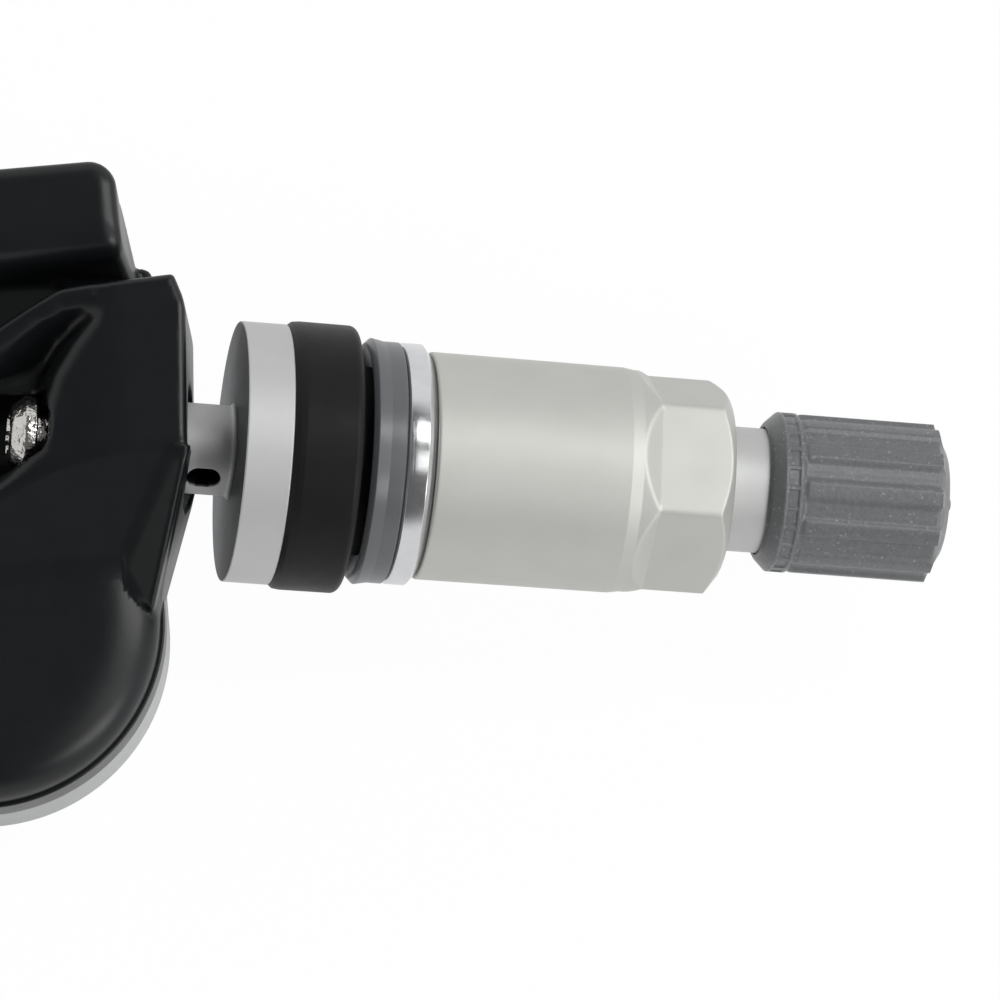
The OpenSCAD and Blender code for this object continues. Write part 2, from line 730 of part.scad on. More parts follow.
// Way in for the screw's head and its driver: as tall as the head's swing in the seat
module head_way() {
    reach = 26;
    up = head_reach * sin(swing_up);
    down = head_reach * sin(swing_down);
    translate([ball_x - reach, 0, 0]) rotate([90, 0, 90]) linear_extrude(reach - web_flat) union() {
        translate([0, up]) circle(r = head_way_r);
        translate([0, -down]) circle(r = head_way_r);
        translate([-head_way_r, -down]) square([2 * head_way_r, up + down]);
    }
}

// Everything that the valve's foot and the driver need, cut along the valve's own axis
module valve_way() {
    mouth_len = 12;
    screw_way_r = tap_r + 0.05;
    translate([ball_x, 0, 0]) rotate([0, 90, 0]) rotate_extrude() intersection() {
        circle(r = socket_r);
        translate([0, -ball_d]) square([ball_d, 2 * ball_d]);
    }
    bar(mouth_r, ball_x, ball_x + mouth_len);
    difference() {
        head_way();
        translate([ball_x, 0, 0]) rotate([0, 90, 0]) rotate_extrude() intersection() {
            circle(r = web_r);
            translate([0, -2 * web_r]) square([2 * web_r, 4 * web_r]);
        }
    }
    for (side = [-1, 1]) translate([0, 0, side * (slot_half - tap_r)])
        bar(screw_way_r, ball_x - web_r - 1, ball_x);
    translate([ball_x - web_r - 1, -screw_way_r, -slot_half + tap_r])
        cube([web_r + 1, 2 * screw_way_r, 2 * (slot_half - tap_r)]);
}

// Space for the electronics under the deck and in the block, kept clear of the ball seat
module inner_space() {
    loft_set = 1.4;
    difference() {
        union() {
            intersection() {
                deck(wall, -lip_depth - 0.01);
                translate([0, 0, -base_depth]) linear_extrude(2 * base_depth) plan(wall);
            }
            translate([0, 0, -seam_depth - 1]) linear_extrude(seam_depth + 1 - lip_depth) plan(wall);
            translate([cell_x - end_r + 2 * wall, block_front + 2 * wall + loft_set, -lip_depth - 1])
                cube([body_w - 4 * wall, block_len - 3 * wall - loft_set, block_h + lip_depth + 1 - wall]);
        }
        translate([-big / 2, keep_near, roof_z]) cube([big, keep_w, big]);
        translate([seat_keep_x, keep_near, roof_z]) cube([big, seat_keep_w, big]);
        translate([0, 0, -seam_depth]) cylinder(r = socket_r + wall / 2, h = big);
    }
}

// Moulded upper housing: rolled deck, far block and the cradle that holds the valve's ball foot
module upper_housing() {
    color([0.12, 0.12, 0.13]) difference() {
        on_body() difference() {
            union() {
                intersection() {
                    deck(0, -lip_depth);
                    translate([0, 0, -lip_depth]) linear_extrude(roll_h + 1) plan(0);
                }
                translate([0, 0, -seam_depth]) linear_extrude(seam_depth - lip_depth) plan(0);
                block();
                difference() {
                    cradle();
                    pocket();
                }
            }
            inner_space();
            translate([chip_x, chip_y, deck_under - 1]) cylinder(d = port_d, h = 4);
            translate([chip_x, chip_y, deck_h - 0.4]) cylinder(d = port_d + 1.6, h = 2);
            translate([-big / 2, -big / 2, -seam_depth - big]) cube(
                [big / 2 + body_side, big, big]);
        }
        valve_way();
    }
}

// Light base cover: a shallow tray with pads for the board
module base_cover() {
    pad_r = 0.8;
    pad_edge = wall + pad_r;
    color([0.6, 0.61, 0.61]) on_body() {
        difference() {
            union() {
                translate([0, 0, -base_depth + 0.4])
                    linear_extrude(base_depth - seam_depth - 0.4) plan(0);
                translate([0, 0, -base_depth]) linear_extrude(0.4) plan(0.3);
            }
            translate([0, 0, floor_z]) linear_extrude(base_depth) plan(wall);
        }
        for (side = [-1, 1], y = [cell_edge_y + 2.5, far_y - wall - 2.4])
            translate([cell_x + side * (end_r - pad_edge), y, floor_z]) cylinder(r = pad_r, h = pad_h);
    }
}

// Circuit board beside the coin cell, with its edge cut round to clear the cell
module circuit_board() {
    edge = wall + 0.3;
    color([0.1, 0.35, 0.2]) on_body() translate([0, 0, board_z]) linear_extrude(board_t)
        difference() {
            plan(edge);
            translate([cell_x, cell_y]) circle(r = cell_room);
            translate([cell_x - body_w, cell_y - body_w]) square([2 * body_w, body_w + cell_d / 2 - 3]);
        }
}

// Coin cell with its stepped rim
module coin_cell() {
    color([0.78, 0.78, 0.8]) on_body() translate([cell_x, cell_y, cell_bottom]) {
        cylinder(d = cell_d - 1.6, h = 0.4);
        translate([0, 0, 0.4]) cylinder(d = cell_d, h = cell_h - 0.4);
    }
}

// Strip over the cell with a leg down to the board
module positive_tab() {
    strip_w = 4;
    leg_y = cell_edge_y + tab_reach / 2;
    over = 7;
    color([0.8, 0.78, 0.7]) on_body() translate([cell_x - strip_w - 1, 0, 0]) {
        translate([0, leg_y - over, cell_top]) cube([strip_w, over, tab_t]);
        translate([0, leg_y - tab_t, board_top]) cube([strip_w, tab_t, cell_top + tab_t - board_top]);
        translate([0, leg_y - tab_t, board_top]) cube([strip_w, 1, tab_t]);
    }
}

// Strip under the cell with a foot that turns up to the board
module negative_tab() {
    strip_w = 4;
    leg_y = cell_edge_y + tab_reach;
    under = 9;
    color([0.8, 0.78, 0.7]) on_body() translate([cell_x + 1, 0, 0]) {
        translate([0, leg_y - under, floor_z]) cube([strip_w, under, tab_t]);
        translate([0, leg_y - tab_t, floor_z]) cube([strip_w, tab_t, pad_h]);
    }
}

// A chip body with a chamfered top edge, set on the board
module chip(at, size) {
    bevel = 0.12;
    translate([at[0], at[1], board_top]) {
        translate([-size[0] / 2, -size[1] / 2, 0]) cube([size[0], size[1], size[2] - bevel]);
        translate([bevel - size[0] / 2, bevel - size[1] / 2, 0])
            cube([size[0] - 2 * bevel, size[1] - 2 * bevel, size[2]]);
    }
}

// Pressure chip with an air hole in its lid
module pressure_chip() {
    color([0.16, 0.16, 0.17]) on_body() difference() {
        chip([chip_x, chip_y], [chip_w, chip_w, chip_h]);
        translate([chip_x, chip_y, board_top + chip_h - 0.6]) cylinder(d = 1, h = 1);
    }
}

// Radio chip
module transmitter_chip() {
    color([0.14, 0.14, 0.15]) on_body() chip([radio_x, chip_y - 0.6], [radio_w, radio_w, 0.9]);
}

// Crystal can beside the radio chip
module crystal() {
    color([0.76, 0.76, 0.74]) on_body()
        chip([crystal_x, chip_y], [crystal_len, crystal_len * 0.78, 0.8]);
}

// Ferrite core of the wake-up coil: a bar between two square cheeks
module coil_core() {
    color([0.25, 0.24, 0.23]) on_body() translate([coil_x, coil_y, board_top]) {
        for (x = [0, coil_len - coil_cheek]) translate([x, 0, 0]) cube([coil_cheek, coil_h, coil_h]);
        translate([coil_cheek, coil_h / 2 - coil_bar / 2, coil_h / 2 - coil_bar / 2])
            cube([coil_len - 2 * coil_cheek, coil_bar, coil_bar]);
    }
}

// Winding on the ferrite core
module coil_winding() {
    end_gap = 0.2;
    bore = coil_bar + 0.1;
    turns_len = coil_len - 2 * coil_cheek - 2 * end_gap;
    color([0.72, 0.4, 0.2]) on_body()
        translate([coil_x + coil_cheek + end_gap, coil_y + coil_h / 2, board_top + coil_h / 2])
            rotate([0, 90, 0]) difference() {
                cylinder(d = coil_h - 0.2, h = turns_len);
                translate([-bore / 2, -bore / 2, -1]) cube([bore, bore, turns_len + 2]);
            }
}

// Stamped antenna strip that stands on two legs above the board
module antenna() {
    span = body_w - 7;
    top = block_h - wall - 0.6 - antenna_strip - board_top;
    color([0.8, 0.68, 0.4]) on_body() translate([cell_x - span / 2, antenna_y, board_top]) {
        for (x = [0, span - antenna_strip]) translate([x, 0, 0]) cube([antenna_strip, antenna_strip, top]);
        translate([0, 0, top]) cube([span, antenna_strip, antenna_strip]);
    }
}

// Small parts around the chips, in two rows of four
module board_passives() {
    size = [1, 0.6, 0.5];
    pitch = 2 * size[0];
    row_gap = 1.4;
    rows_y = chip_y - chip_w / 2 - 2.9;
    color([0.62, 0.55, 0.45]) on_body() for (i = [0:3], j = [0:1])
        chip([chip_x + size[0] + pitch * i, rows_y + row_gap * j], size);
}

// Soft ring between the pressure chip and the port in the deck
module port_seal() {
    bottom = board_top + chip_h + part_gap;
    color([0.3, 0.3, 0.32]) on_body() translate([chip_x, chip_y, bottom]) difference() {
        cylinder(d = 3.6, h = deck_under - part_gap - bottom);
        translate([0, 0, -1]) cylinder(d = 1.6, h = 12);
    }
}

// Disc that keeps dust and water out of the port
module port_filter() {
    color([0.9, 0.9, 0.88]) on_body() translate([chip_x, chip_y, deck_h - 0.4])
        cylinder(d = port_d + 1.5, h = 0.25);
}

valve_stem();
rubber_grommet();
slip_washer();
nut_washer();
valve_nut();
valve_cap();
cap_seal();
core_body();
core_gasket();
core_pin();
pin_seal();
core_spring();
foot_screw();
upper_housing();
base_cover();
circuit_board();
coin_cell();
positive_tab();
negative_tab();
pressure_chip();
transmitter_chip();
crystal();
coil_core();
coil_winding();
antenna();
board_passives();
port_seal();
port_filter();
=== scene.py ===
import logging
import math
from dataclasses import dataclass
from enum import Enum
from typing import Callable, Optional

import bmesh
import bpy
import numpy as np
from mathutils import Matrix, Vector


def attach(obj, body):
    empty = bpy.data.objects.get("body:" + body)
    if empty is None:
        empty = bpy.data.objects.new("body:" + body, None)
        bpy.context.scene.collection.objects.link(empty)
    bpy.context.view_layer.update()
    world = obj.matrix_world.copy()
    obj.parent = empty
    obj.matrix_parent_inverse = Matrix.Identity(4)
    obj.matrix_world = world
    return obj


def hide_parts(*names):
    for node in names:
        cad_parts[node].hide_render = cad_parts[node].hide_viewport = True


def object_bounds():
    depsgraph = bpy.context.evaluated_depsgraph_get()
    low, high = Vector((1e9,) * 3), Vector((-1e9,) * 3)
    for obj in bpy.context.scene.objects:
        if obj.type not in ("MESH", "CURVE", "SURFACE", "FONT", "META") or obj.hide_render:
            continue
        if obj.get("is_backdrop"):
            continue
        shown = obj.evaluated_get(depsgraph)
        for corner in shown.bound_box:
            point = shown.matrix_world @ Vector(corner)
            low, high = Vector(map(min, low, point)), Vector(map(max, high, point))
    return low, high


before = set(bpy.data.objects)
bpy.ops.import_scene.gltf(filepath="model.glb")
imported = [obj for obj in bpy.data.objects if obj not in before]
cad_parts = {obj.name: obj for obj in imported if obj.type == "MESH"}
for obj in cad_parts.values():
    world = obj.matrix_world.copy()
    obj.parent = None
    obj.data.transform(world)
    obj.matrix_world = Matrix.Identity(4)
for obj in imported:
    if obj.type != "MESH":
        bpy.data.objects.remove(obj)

LOG = logging.getLogger("tyre_pressure_sensor")
MM = 0.001
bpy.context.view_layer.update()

Array = np.ndarray
Tree = bpy.types.NodeTree
Socket = bpy.types.NodeSocket
Section = list[tuple[float, float]]
Outline = list[tuple[float, float, float]]
Corners = tuple[tuple[float, ...], ...]
Shape = Callable[[Array, Array, Array], Array]

# Inputs of a Mix node by number, and the output that gives the mixed colour
SHARE, VALUE_A, VALUE_B, COLOUR_A, COLOUR_B = 0, 2, 3, 6, 7
MIXED_COLOUR = 2
WHITE = "#FFFFFF"

# Points closer than this are one point, and edges shorter than this are none, in metres
WELD, SLIVER = 1e-6, 1e-7
# An edge that turns by more than this stays sharp, and a turned piece has this many steps around
SHARP_DEG = 32.0
SEGMENTS = 160
# A corner whose half angle is over this is left flat, and a fillet takes at most this share of a line
FLAT_HALF_DEG = 89.0
FILLET_REACH = 0.49
# Radius of a turned form's end on the axis, too small to see, and what keeps a number off zero
ON_AXIS = 0.001
TINY = 1e-9
# A thread's flanks are steeper than a plain zigzag's, which leaves its crest and its root flat; the
# second number is the crest's share
FLANK_GAIN, CREST_SHARE = 1.15, 0.1
# How much a face's area counts in the normals of the points around it, where 50 is neutral
FACE_WEIGHT = 100


class Body(Enum):
    """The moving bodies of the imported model."""

    VALVE = "valve"
    WASHERS = "washers"
    NUT = "nut"
    CAP = "cap"
    SENSOR = "sensor_body"


# Colours and nodes


def linear(code: str) -> tuple[float, float, float, float]:
    """Turns an sRGB hex colour to a linear one.

    Args:
        code: Six hex digits after a hash sign.

    Returns:
        Linear red, green, blue and an alpha of one.
    """
    parts = [int(code[i:i + 2], 16) / 255 for i in (1, 3, 5)]
    return (*(c / 12.92 if c <= 0.04045 else ((c + 0.055) / 1.055) ** 2.4 for c in parts), 1.0)


def add_node(tree: Tree, kind: str, inputs: Optional[dict] = None, **settings: object) -> bpy.types.Node:
    """Adds a node, sets its attributes and fills its inputs.

    Args:
        tree: The node tree that takes the node.
        kind: Blender's name of the node's class.
        inputs: For each input's name or number, a socket to link or a plain value.
        settings: Attributes of the node itself.

    Returns:
        The new node.
    """
    made = tree.nodes.new(kind)
    for key, value in settings.items():
        setattr(made, key, value)
    for key, value in (inputs or {}).items():
        if isinstance(value, Socket):
            tree.links.new(value, made.inputs[key])
        else:
            made.inputs[key].default_value = value
    return made


@dataclass(frozen=True)
class Finish:
    """A real material and how its surface was made.

    The colour drifts between two hues over soft clouds, and a fine grain lifts the surface.
    """

    name: str
    hue: str
    second_hue: str
    roughness: float
    metallic: float = 0.0
    # What isn't metal bends and mirrors light by these
    ior: float = 1.5
    shine: float = 0.5
    # Sizes of the clouds and the grain, and how far they change the colour, the height and the roughness
    cloud_mm: float = 2.0
    cloud_detail: float = 3.0
    grain_mm: float = 0.12
    grain_detail: float = 2.0
    grain_lift: float = 0.15
    grain_depth: float = 0.3
    rough_drift: float = 0.06
    rough_cloud: float = 0.6
    smoothest: float = 0.02
    # Clear coat
    coat: float = 0.0
    coat_roughness: float = 0.12

    def place_mm(self, tree: Tree) -> Socket:
        """Measures the place on the piece.

        Args:
            tree: The material's node tree.

        Returns:
            The place in millimetres.
        """
        where = add_node(tree, "ShaderNodeTexCoord")
        return add_node(tree, "ShaderNodeVectorMath", {
            0: where.outputs["Object"], "Scale": 1 / MM
        }, operation="SCALE").outputs[0]

    def colour(self, tree: Tree, place: Socket) -> Socket:
        """Lets the colour drift over soft clouds.

        Args:
            tree: The material's node tree.
            place: The place on the piece in millimetres.

        Returns:
            The surface's colour.
        """
        clouds = add_node(tree, "ShaderNodeTexNoise", {
            "Vector": place, "Scale": 1 / self.cloud_mm, "Detail": self.cloud_detail
        })
        return add_node(tree, "ShaderNodeMix", {
            SHARE: clouds.outputs["Fac"], COLOUR_A: linear(self.hue), COLOUR_B: linear(self.second_hue)
        }, data_type="RGBA").outputs[MIXED_COLOUR]

    def height(self, tree: Tree, place: Socket) -> Socket:
        """Raises the fine grain.

        Args:
            tree: The material's node tree.
            place: The place on the piece in millimetres.

        Returns:
            The grain's height, from zero to one.
        """
        return add_node(tree, "ShaderNodeTexNoise", {
            "Vector": place, "Scale": 1 / self.grain_mm, "Detail": self.grain_detail
        }).outputs["Fac"]

    def finish_shader(self, tree: Tree, shader: bpy.types.Node, place: Socket) -> None:
        """Sets what only some finishes have; the plain finish adds nothing."""

    def build(self) -> bpy.types.Material:
        """Builds the material.

        Returns:
            The material, named for what the real one is.
        """
        known = bpy.data.materials.get(self.name)
        if known:
            return known
        made = bpy.data.materials.new(self.name)
        made.use_nodes = True
        tree = made.node_tree
        tree.nodes.clear()
        place = self.place_mm(tree)
        patches = add_node(tree, "ShaderNodeTexNoise", {
            "Vector": place, "Scale": 1 / (self.cloud_mm * self.rough_cloud), "Detail": self.cloud_detail
        })
        rough = add_node(tree, "ShaderNodeMapRange", {
            "Value": patches.outputs["Fac"],
            "To Min": max(self.roughness - self.rough_drift, self.smoothest),
            "To Max": self.roughness + self.rough_drift,
        })
        bump = add_node(tree, "ShaderNodeBump", {
            "Strength": self.grain_lift, "Distance": self.grain_mm * MM * self.grain_depth,
            "Height": self.height(tree, place),
        })
        shader = add_node(tree, "ShaderNodeBsdfPrincipled", {
            "Base Color": self.colour(tree, place), "Metallic": self.metallic,
            "Roughness": rough.outputs[0], "Normal": bump.outputs[0],
        })
        if not self.metallic:
            shader.inputs["IOR"].default_value = self.ior
            shader.inputs["Specular IOR Level"].default_value = self.shine
        if self.coat:
            shader.inputs["Coat Weight"].default_value = self.coat
            shader.inputs["Coat Roughness"].default_value = self.coat_roughness
        self.finish_shader(tree, shader, place)
        out = add_node(tree, "ShaderNodeOutputMaterial")
        tree.links.new(shader.outputs[0], out.inputs[0])
        return made


@dataclass(frozen=True)
class RingedSurface(Finish):
    """Surface with fine rings around the valve's axis, from a lathe or from a turned mould."""

    ring_mm: float = 0.12
    ring_detail: float = 1.0
    ring_share: float = 0.7
    ring_drift: float = 0.02
    anisotropy: float = 0.5
    # Painted shade in a bore: within this radius the colour fades to a dark hue over the given width
    bore_shade_mm: float = 0.0
    bore_shade_fade_mm: float = 0.1
    bore_shade_hue: str = "#303032"

    def about_axis(self, tree: Tree, place: Socket) -> tuple[Socket, Socket, Socket]:
        """Measures a place by the valve's axis, which is the piece's own X.

        Args:
            tree: The material's node tree.
            place: The place on the piece in millimetres.

        Returns:
            The station along the axis, the way out from it and the distance from it.
        """
        split = add_node(tree, "ShaderNodeSeparateXYZ", {0: place})
        across = add_node(tree, "ShaderNodeCombineXYZ", {0: split.outputs[1], 1: split.outputs[2]})
        radius = add_node(tree, "ShaderNodeVectorMath", {0: across.outputs[0]}, operation="LENGTH")
        return split.outputs[0], across.outputs[0], radius.outputs["Value"]

    def colour(self, tree: Tree, place: Socket) -> Socket:
        """Colours the surface, and paints shade into the bore: the colour turns to a dark hue within the
        bore's radius.

        Args:
            tree: The material's node tree.
            place: The place on the piece in millimetres.

        Returns:
            The surface's colour.
        """
        outside = super().colour(tree, place)
        if not self.bore_shade_mm:
            return outside
        # Painted shade: the colour darkens inside the bore's radius
        radius = self.about_axis(tree, place)[2]
        unshaded = add_node(tree, "ShaderNodeMapRange", {
            "Value": radius, "From Min": self.bore_shade_mm - self.bore_shade_fade_mm, "From Max": self.bore_shade_mm
        })
        return add_node(tree, "ShaderNodeMix", {
            SHARE: unshaded.outputs[0], COLOUR_A: linear(self.bore_shade_hue), COLOUR_B: outside
        }, data_type="RGBA").outputs[MIXED_COLOUR]

    def ring_place(self, tree: Tree, place: Socket) -> Socket:
        """Bends the place so that a pattern runs in rings.

        Args:
            tree: The material's node tree.
            place: The place on the piece in millimetres.

        Returns:
            A place that changes along and away from the axis but hardly around it.
        """
        along, across, radius = self.about_axis(tree, place)
        drift = add_node(tree, "ShaderNodeVectorMath", {
            0: across, "Scale": self.ring_drift
        }, operation="SCALE")
        rings = add_node(tree, "ShaderNodeCombineXYZ", {0: along, 1: radius})
        return add_node(tree, "ShaderNodeVectorMath", {
            0: rings.outputs[0], 1: drift.outputs[0]
        }, operation="ADD").outputs[0]

    def height(self, tree: Tree, place: Socket) -> Socket:
        """Mixes the rings with the fine grain.

        Args:
            tree: The material's node tree.
            place: The place on the piece in millimetres.

        Returns:
            The height of both together, from zero to one.
        """
        rings = add_node(tree, "ShaderNodeTexNoise", {
            "Vector": self.ring_place(tree, place), "Scale": 1 / self.ring_mm, "Detail": self.ring_detail
        })
        return add_node(tree, "ShaderNodeMix", {
            SHARE: self.ring_share, VALUE_A: super().height(tree, place), VALUE_B: rings.outputs["Fac"]
        }).outputs[0]

    def finish_shader(self, tree: Tree, shader: bpy.types.Node, place: Socket) -> None:
        """Stretches the highlights across the rings.

        Args:
            tree: The material's node tree.
            shader: The material's shader.
            place: The place on the piece, which the rings' direction doesn't need.
        """
        shader.inputs["Anisotropic"].default_value = self.anisotropy
        around = add_node(tree, "ShaderNodeTangent", direction_type="RADIAL", axis="X")
        tree.links.new(around.outputs[0], shader.inputs["Tangent"])


@dataclass(frozen=True)
class FlakedResin(Finish):
    """Moulded resin filled with fine metal flakes, a few of which catch the light."""

    flake_hue: str = "#909292"
    flake_mm: float = 0.13
    flake_share: float = 0.05
    flake_cover: float = 0.55
    darkest: float = 0.88
    lightest: float = 1.1

    def colour(self, tree: Tree, place: Socket) -> Socket:
        """Sprinkles the resin with bright flakes and mottles it in cells of their size.

        Args:
            tree: The material's node tree.
            place: The place on the piece in millimetres.

        Returns:
            The surface's colour.
        """
        base = super().colour(tree, place)
        cells = add_node(tree, "ShaderNodeTexVoronoi", {"Vector": place, "Scale": 1 / self.flake_mm})
        pick = add_node(tree, "ShaderNodeSeparateColor", {0: cells.outputs["Color"]})
        bright = add_node(tree, "ShaderNodeMapRange", {
            "Value": pick.outputs[0], "From Min": 1 - self.flake_share, "From Max": 1.0,
            "To Max": self.flake_cover,
        })
        tone = add_node(tree, "ShaderNodeMapRange", {
            "Value": pick.outputs[1], "To Min": self.darkest, "To Max": self.lightest
        })
        toned = add_node(tree, "ShaderNodeVectorMath", {0: base, "Scale": tone.outputs[0]}, operation="SCALE")
        return add_node(tree, "ShaderNodeMix", {
            SHARE: bright.outputs[0], COLOUR_A: toned.outputs[0], COLOUR_B: linear(self.flake_hue)
        }, data_type="RGBA").outputs[MIXED_COLOUR]


# The finishes. Turning marks and moulded grain are finer on the real pieces than the picture can show,
# so they are drawn 0.1 to 0.25 mm wide, as coarse as it takes for them to show.

# Bead-blasted and anodised aluminium: a dense, even satin that turns bright where it curves away
SATIN_ALUMINIUM = RingedSurface(
    "satin_anodised_aluminium", "#C7C7C3", "#BFBFBB", 0.6, 1.0, cloud_mm=3.0, grain_mm=0.14,
    grain_lift=0.06, rough_drift=0.03, ring_mm=0.2, anisotropy=0.0, ring_share=0.3,
)
# The stem is cut from the same bar and blasted with it; its bore and the slot's inner walls get painted
# shade, a dark hue within the bore's radius
STEM_ALUMINIUM = RingedSurface(
    "turned_anodised_aluminium", "#C6C7C6", "#BEBFBE", 0.6, 1.0, cloud_mm=3.0, grain_mm=0.12,
    grain_lift=0.07, rough_drift=0.03, ring_mm=0.16, anisotropy=0.0, ring_share=0.5, bore_shade_mm=2.7,
)
# Back of the collar: the stem's aluminium with the housing's dark reflection and shade painted in as a darker
# colour, a little less rough, with turning rings
COLLAR_BACK_PAINTED_SHADE = RingedSurface(
    "aluminium_painted_shade", "#6E7072", "#64666A", 0.5, 1.0, cloud_mm=2.0, grain_mm=0.12,
    grain_lift=0.1, rough_drift=0.05, ring_mm=0.2, anisotropy=0.2, ring_share=0.6,
)
# Nickel-plated brass washer, polished along its turning marks: hard streaks across its edge
POLISHED_NICKEL = RingedSurface(
    "polished_nickel_plate", "#D4D5D6", "#C4C5C7", 0.16, 1.0, cloud_mm=0.9, grain_mm=0.1,
    grain_lift=0.12, rough_drift=0.07, ring_mm=0.14, anisotropy=0.5, ring_share=0.85,
)
# Moulded EPDM rubber: near black, dull, with faint drag marks from the mould
EPDM_RUBBER = RingedSurface(
    "moulded_epdm_rubber", "#121214", "#19191B", 0.46, ior=1.52, shine=0.14, cloud_mm=1.6,
    grain_mm=0.15, ring_mm=0.25, anisotropy=0.0, ring_share=0.6,
)
# Acetal slip washer: milky grey with a soft waxy shine
GREY_ACETAL = Finish(
    "moulded_grey_acetal", "#55575A", "#5B5D5F", 0.32, ior=1.48, cloud_mm=2.5, grain_mm=0.2,
    grain_lift=0.03, rough_drift=0.02,
)
# Flake-filled nylon cap: finely mottled grey with faint specks
FLAKED_NYLON = FlakedResin(
    "flake_filled_nylon", "#5B5D5F", "#646667", 0.38, ior=1.53, cloud_mm=0.9, grain_mm=0.2,
    grain_lift=0.2, rough_drift=0.06,
)
# Glass-filled nylon housing: black satin with a fine spark-eroded grain
GLASS_FILLED_NYLON = Finish(
    "moulded_glass_filled_nylon", "#0E1012", "#131517", 0.34, ior=1.53, shine=0.3, cloud_mm=2.5,
    grain_mm=0.16, grain_lift=0.07, rough_drift=0.04,
)
# Light grey cover, moulded in polybutylene and laser welded: smooth and dull
GREY_POLYBUTYLENE = Finish(
    "moulded_grey_polybutylene", "#9A9C9C", "#A4A6A6", 0.45, ior=1.55, cloud_mm=3.0, grain_mm=0.2,
    grain_lift=0.12,
)
# Nickel-plated steel screw: bright, with the dents that plating leaves in a cold-formed head
NICKELED_STEEL = Finish(
    "nickel_plated_steel", "#D2D0CC", "#B9B7B3", 0.18, 1.0, cloud_mm=0.6, grain_mm=0.55,
    grain_lift=0.8, rough_drift=0.08,
)
# Free-cutting brass of the valve core: warm yellow with turning marks
TURNED_BRASS = RingedSurface(
    "turned_brass", "#D8B56A", "#C9A55C", 0.28, 1.0, cloud_mm=1.0, ring_mm=0.15, anisotropy=0.4,
)
# PTFE sealing ring, filled and pressed: dull red
FILLED_PTFE = Finish("filled_ptfe", "#A8382C", "#B4463A", 0.5, ior=1.38, cloud_mm=0.8)
# Drawn and ground steel of the core's pin: bright, with fine rings
GROUND_STEEL = RingedSurface(
    "ground_steel", "#C9C8C4", "#BDBCB8", 0.25, 1.0, cloud_mm=1.0, ring_mm=0.12, anisotropy=0.4,
)
# Hard-drawn spring wire, slightly oiled: smooth grey with soft highlights
SPRING_STEEL = Finish("drawn_spring_steel", "#A9A9AC", "#B8B8BA", 0.3, 1.0, cloud_mm=0.5)
# Nitrile rubber seals: plain black
NITRILE_RUBBER = Finish("moulded_nitrile_rubber", "#18181A", "#202022", 0.55, ior=1.52, cloud_mm=1.0)
# Glass-epoxy laminate under a green mask: deep green and glossy, over a slightly uneven ground
GLASS_EPOXY = Finish(
    "glass_epoxy_laminate", "#1E5A34", "#256A3E", 0.3, ior=1.54, cloud_mm=0.6, grain_mm=0.25, coat=0.4,
)
# Stainless steel can of the coin cell, brushed dull
STAINLESS_CAN = Finish("stainless_steel_can", "#BEBFC1", "#CFD0D1", 0.32, 1.0, cloud_mm=4.0)
# Rolled nickel strip: warm grey with a satin shine
NICKEL_STRIP = Finish("rolled_nickel_strip", "#CBC8BE", "#BDBAB0", 0.3, 1.0, cloud_mm=1.0)
# Epoxy moulding compound of the chips: matt black
MOULDED_EPOXY = Finish("epoxy_moulding_compound", "#1F2022", "#28292B", 0.6, ior=1.55, cloud_mm=0.8)
# Drawn can of the crystal, an iron and nickel alloy: pale, with a soft sheen
KOVAR_CAN = Finish("kovar_can", "#C4C2BB", "#B7B5AE", 0.3, 1.0, cloud_mm=0.8)
# Sintered ferrite: dark grey and slightly shiny
SINTERED_FERRITE = Finish("sintered_ferrite", "#3A3836", "#444240", 0.4, ior=1.9, cloud_mm=0.5)
# Enamelled copper wire, wound in close turns: reddish and glossy, ringed by its turns
ENAMELLED_COPPER = RingedSurface("enamelled_copper_wire", "#B5623A", "#A65530", 0.3, 1.0, ring_mm=0.1)
# Fired ceramic of the small board parts: dull brown
FIRED_CERAMIC = Finish("fired_ceramic", "#8C7A62", "#9A886F", 0.5, ior=1.7, cloud_mm=0.4)
# Silicone ring: grey and soft
MOULDED_SILICONE = Finish("moulded_silicone", "#55565A", "#5E5F63", 0.5, ior=1.41, cloud_mm=1.0)
# Stretched PTFE membrane of the port: chalk white
PTFE_MEMBRANE = Finish("stretched_ptfe_membrane", "#DADAD6", "#E4E4E0", 0.75, ior=1.35, cloud_mm=0.3)


# Mesh building, in millimetres until the mesh is made


def make_piece(
    name: str, points: Array, faces: list, finish: Finish, sharp_deg: float = SHARP_DEG,
    normals: Optional[Array] = None,
) -> bpy.types.Object:
    """Makes a smooth-shaded piece from points and faces.

    Args:
        name: The piece's name.
        points: Its points in millimetres.
        faces: Lists of point numbers.
        finish: The finish that dresses it.
        sharp_deg: Edges that turn by more than this stay sharp.
        normals: A normal for each point, where the shape gives a better one than its faces.

    Returns:
        The piece, linked to the scene.
    """
    mesh = bpy.data.meshes.new(name)
    mesh.from_pydata((np.asarray(points) * MM).tolist(), [], faces)
    if normals is None:
        work = bmesh.new()
        work.from_mesh(mesh)
        bmesh.ops.remove_doubles(work, verts=work.verts, dist=WELD)
        bmesh.ops.dissolve_degenerate(work, edges=work.edges, dist=SLIVER)
        bmesh.ops.recalc_face_normals(work, faces=work.faces)
        work.to_mesh(mesh)
        work.free()
    mesh.update()
    piece = bpy.data.objects.new(name, mesh)
    bpy.context.scene.collection.objects.link(piece)
    mesh.materials.append(finish.build())
    mesh.shade_smooth()
    if normals is None:
        mesh.set_sharp_from_angle(angle=math.radians(sharp_deg))
        weigh = piece.modifiers.new("weigh", "WEIGHTED_NORMAL")
        weigh.keep_sharp = True
        weigh.weight = FACE_WEIGHT
    else:
        mesh.normals_split_custom_set_from_vertices(normals.tolist())
    return piece


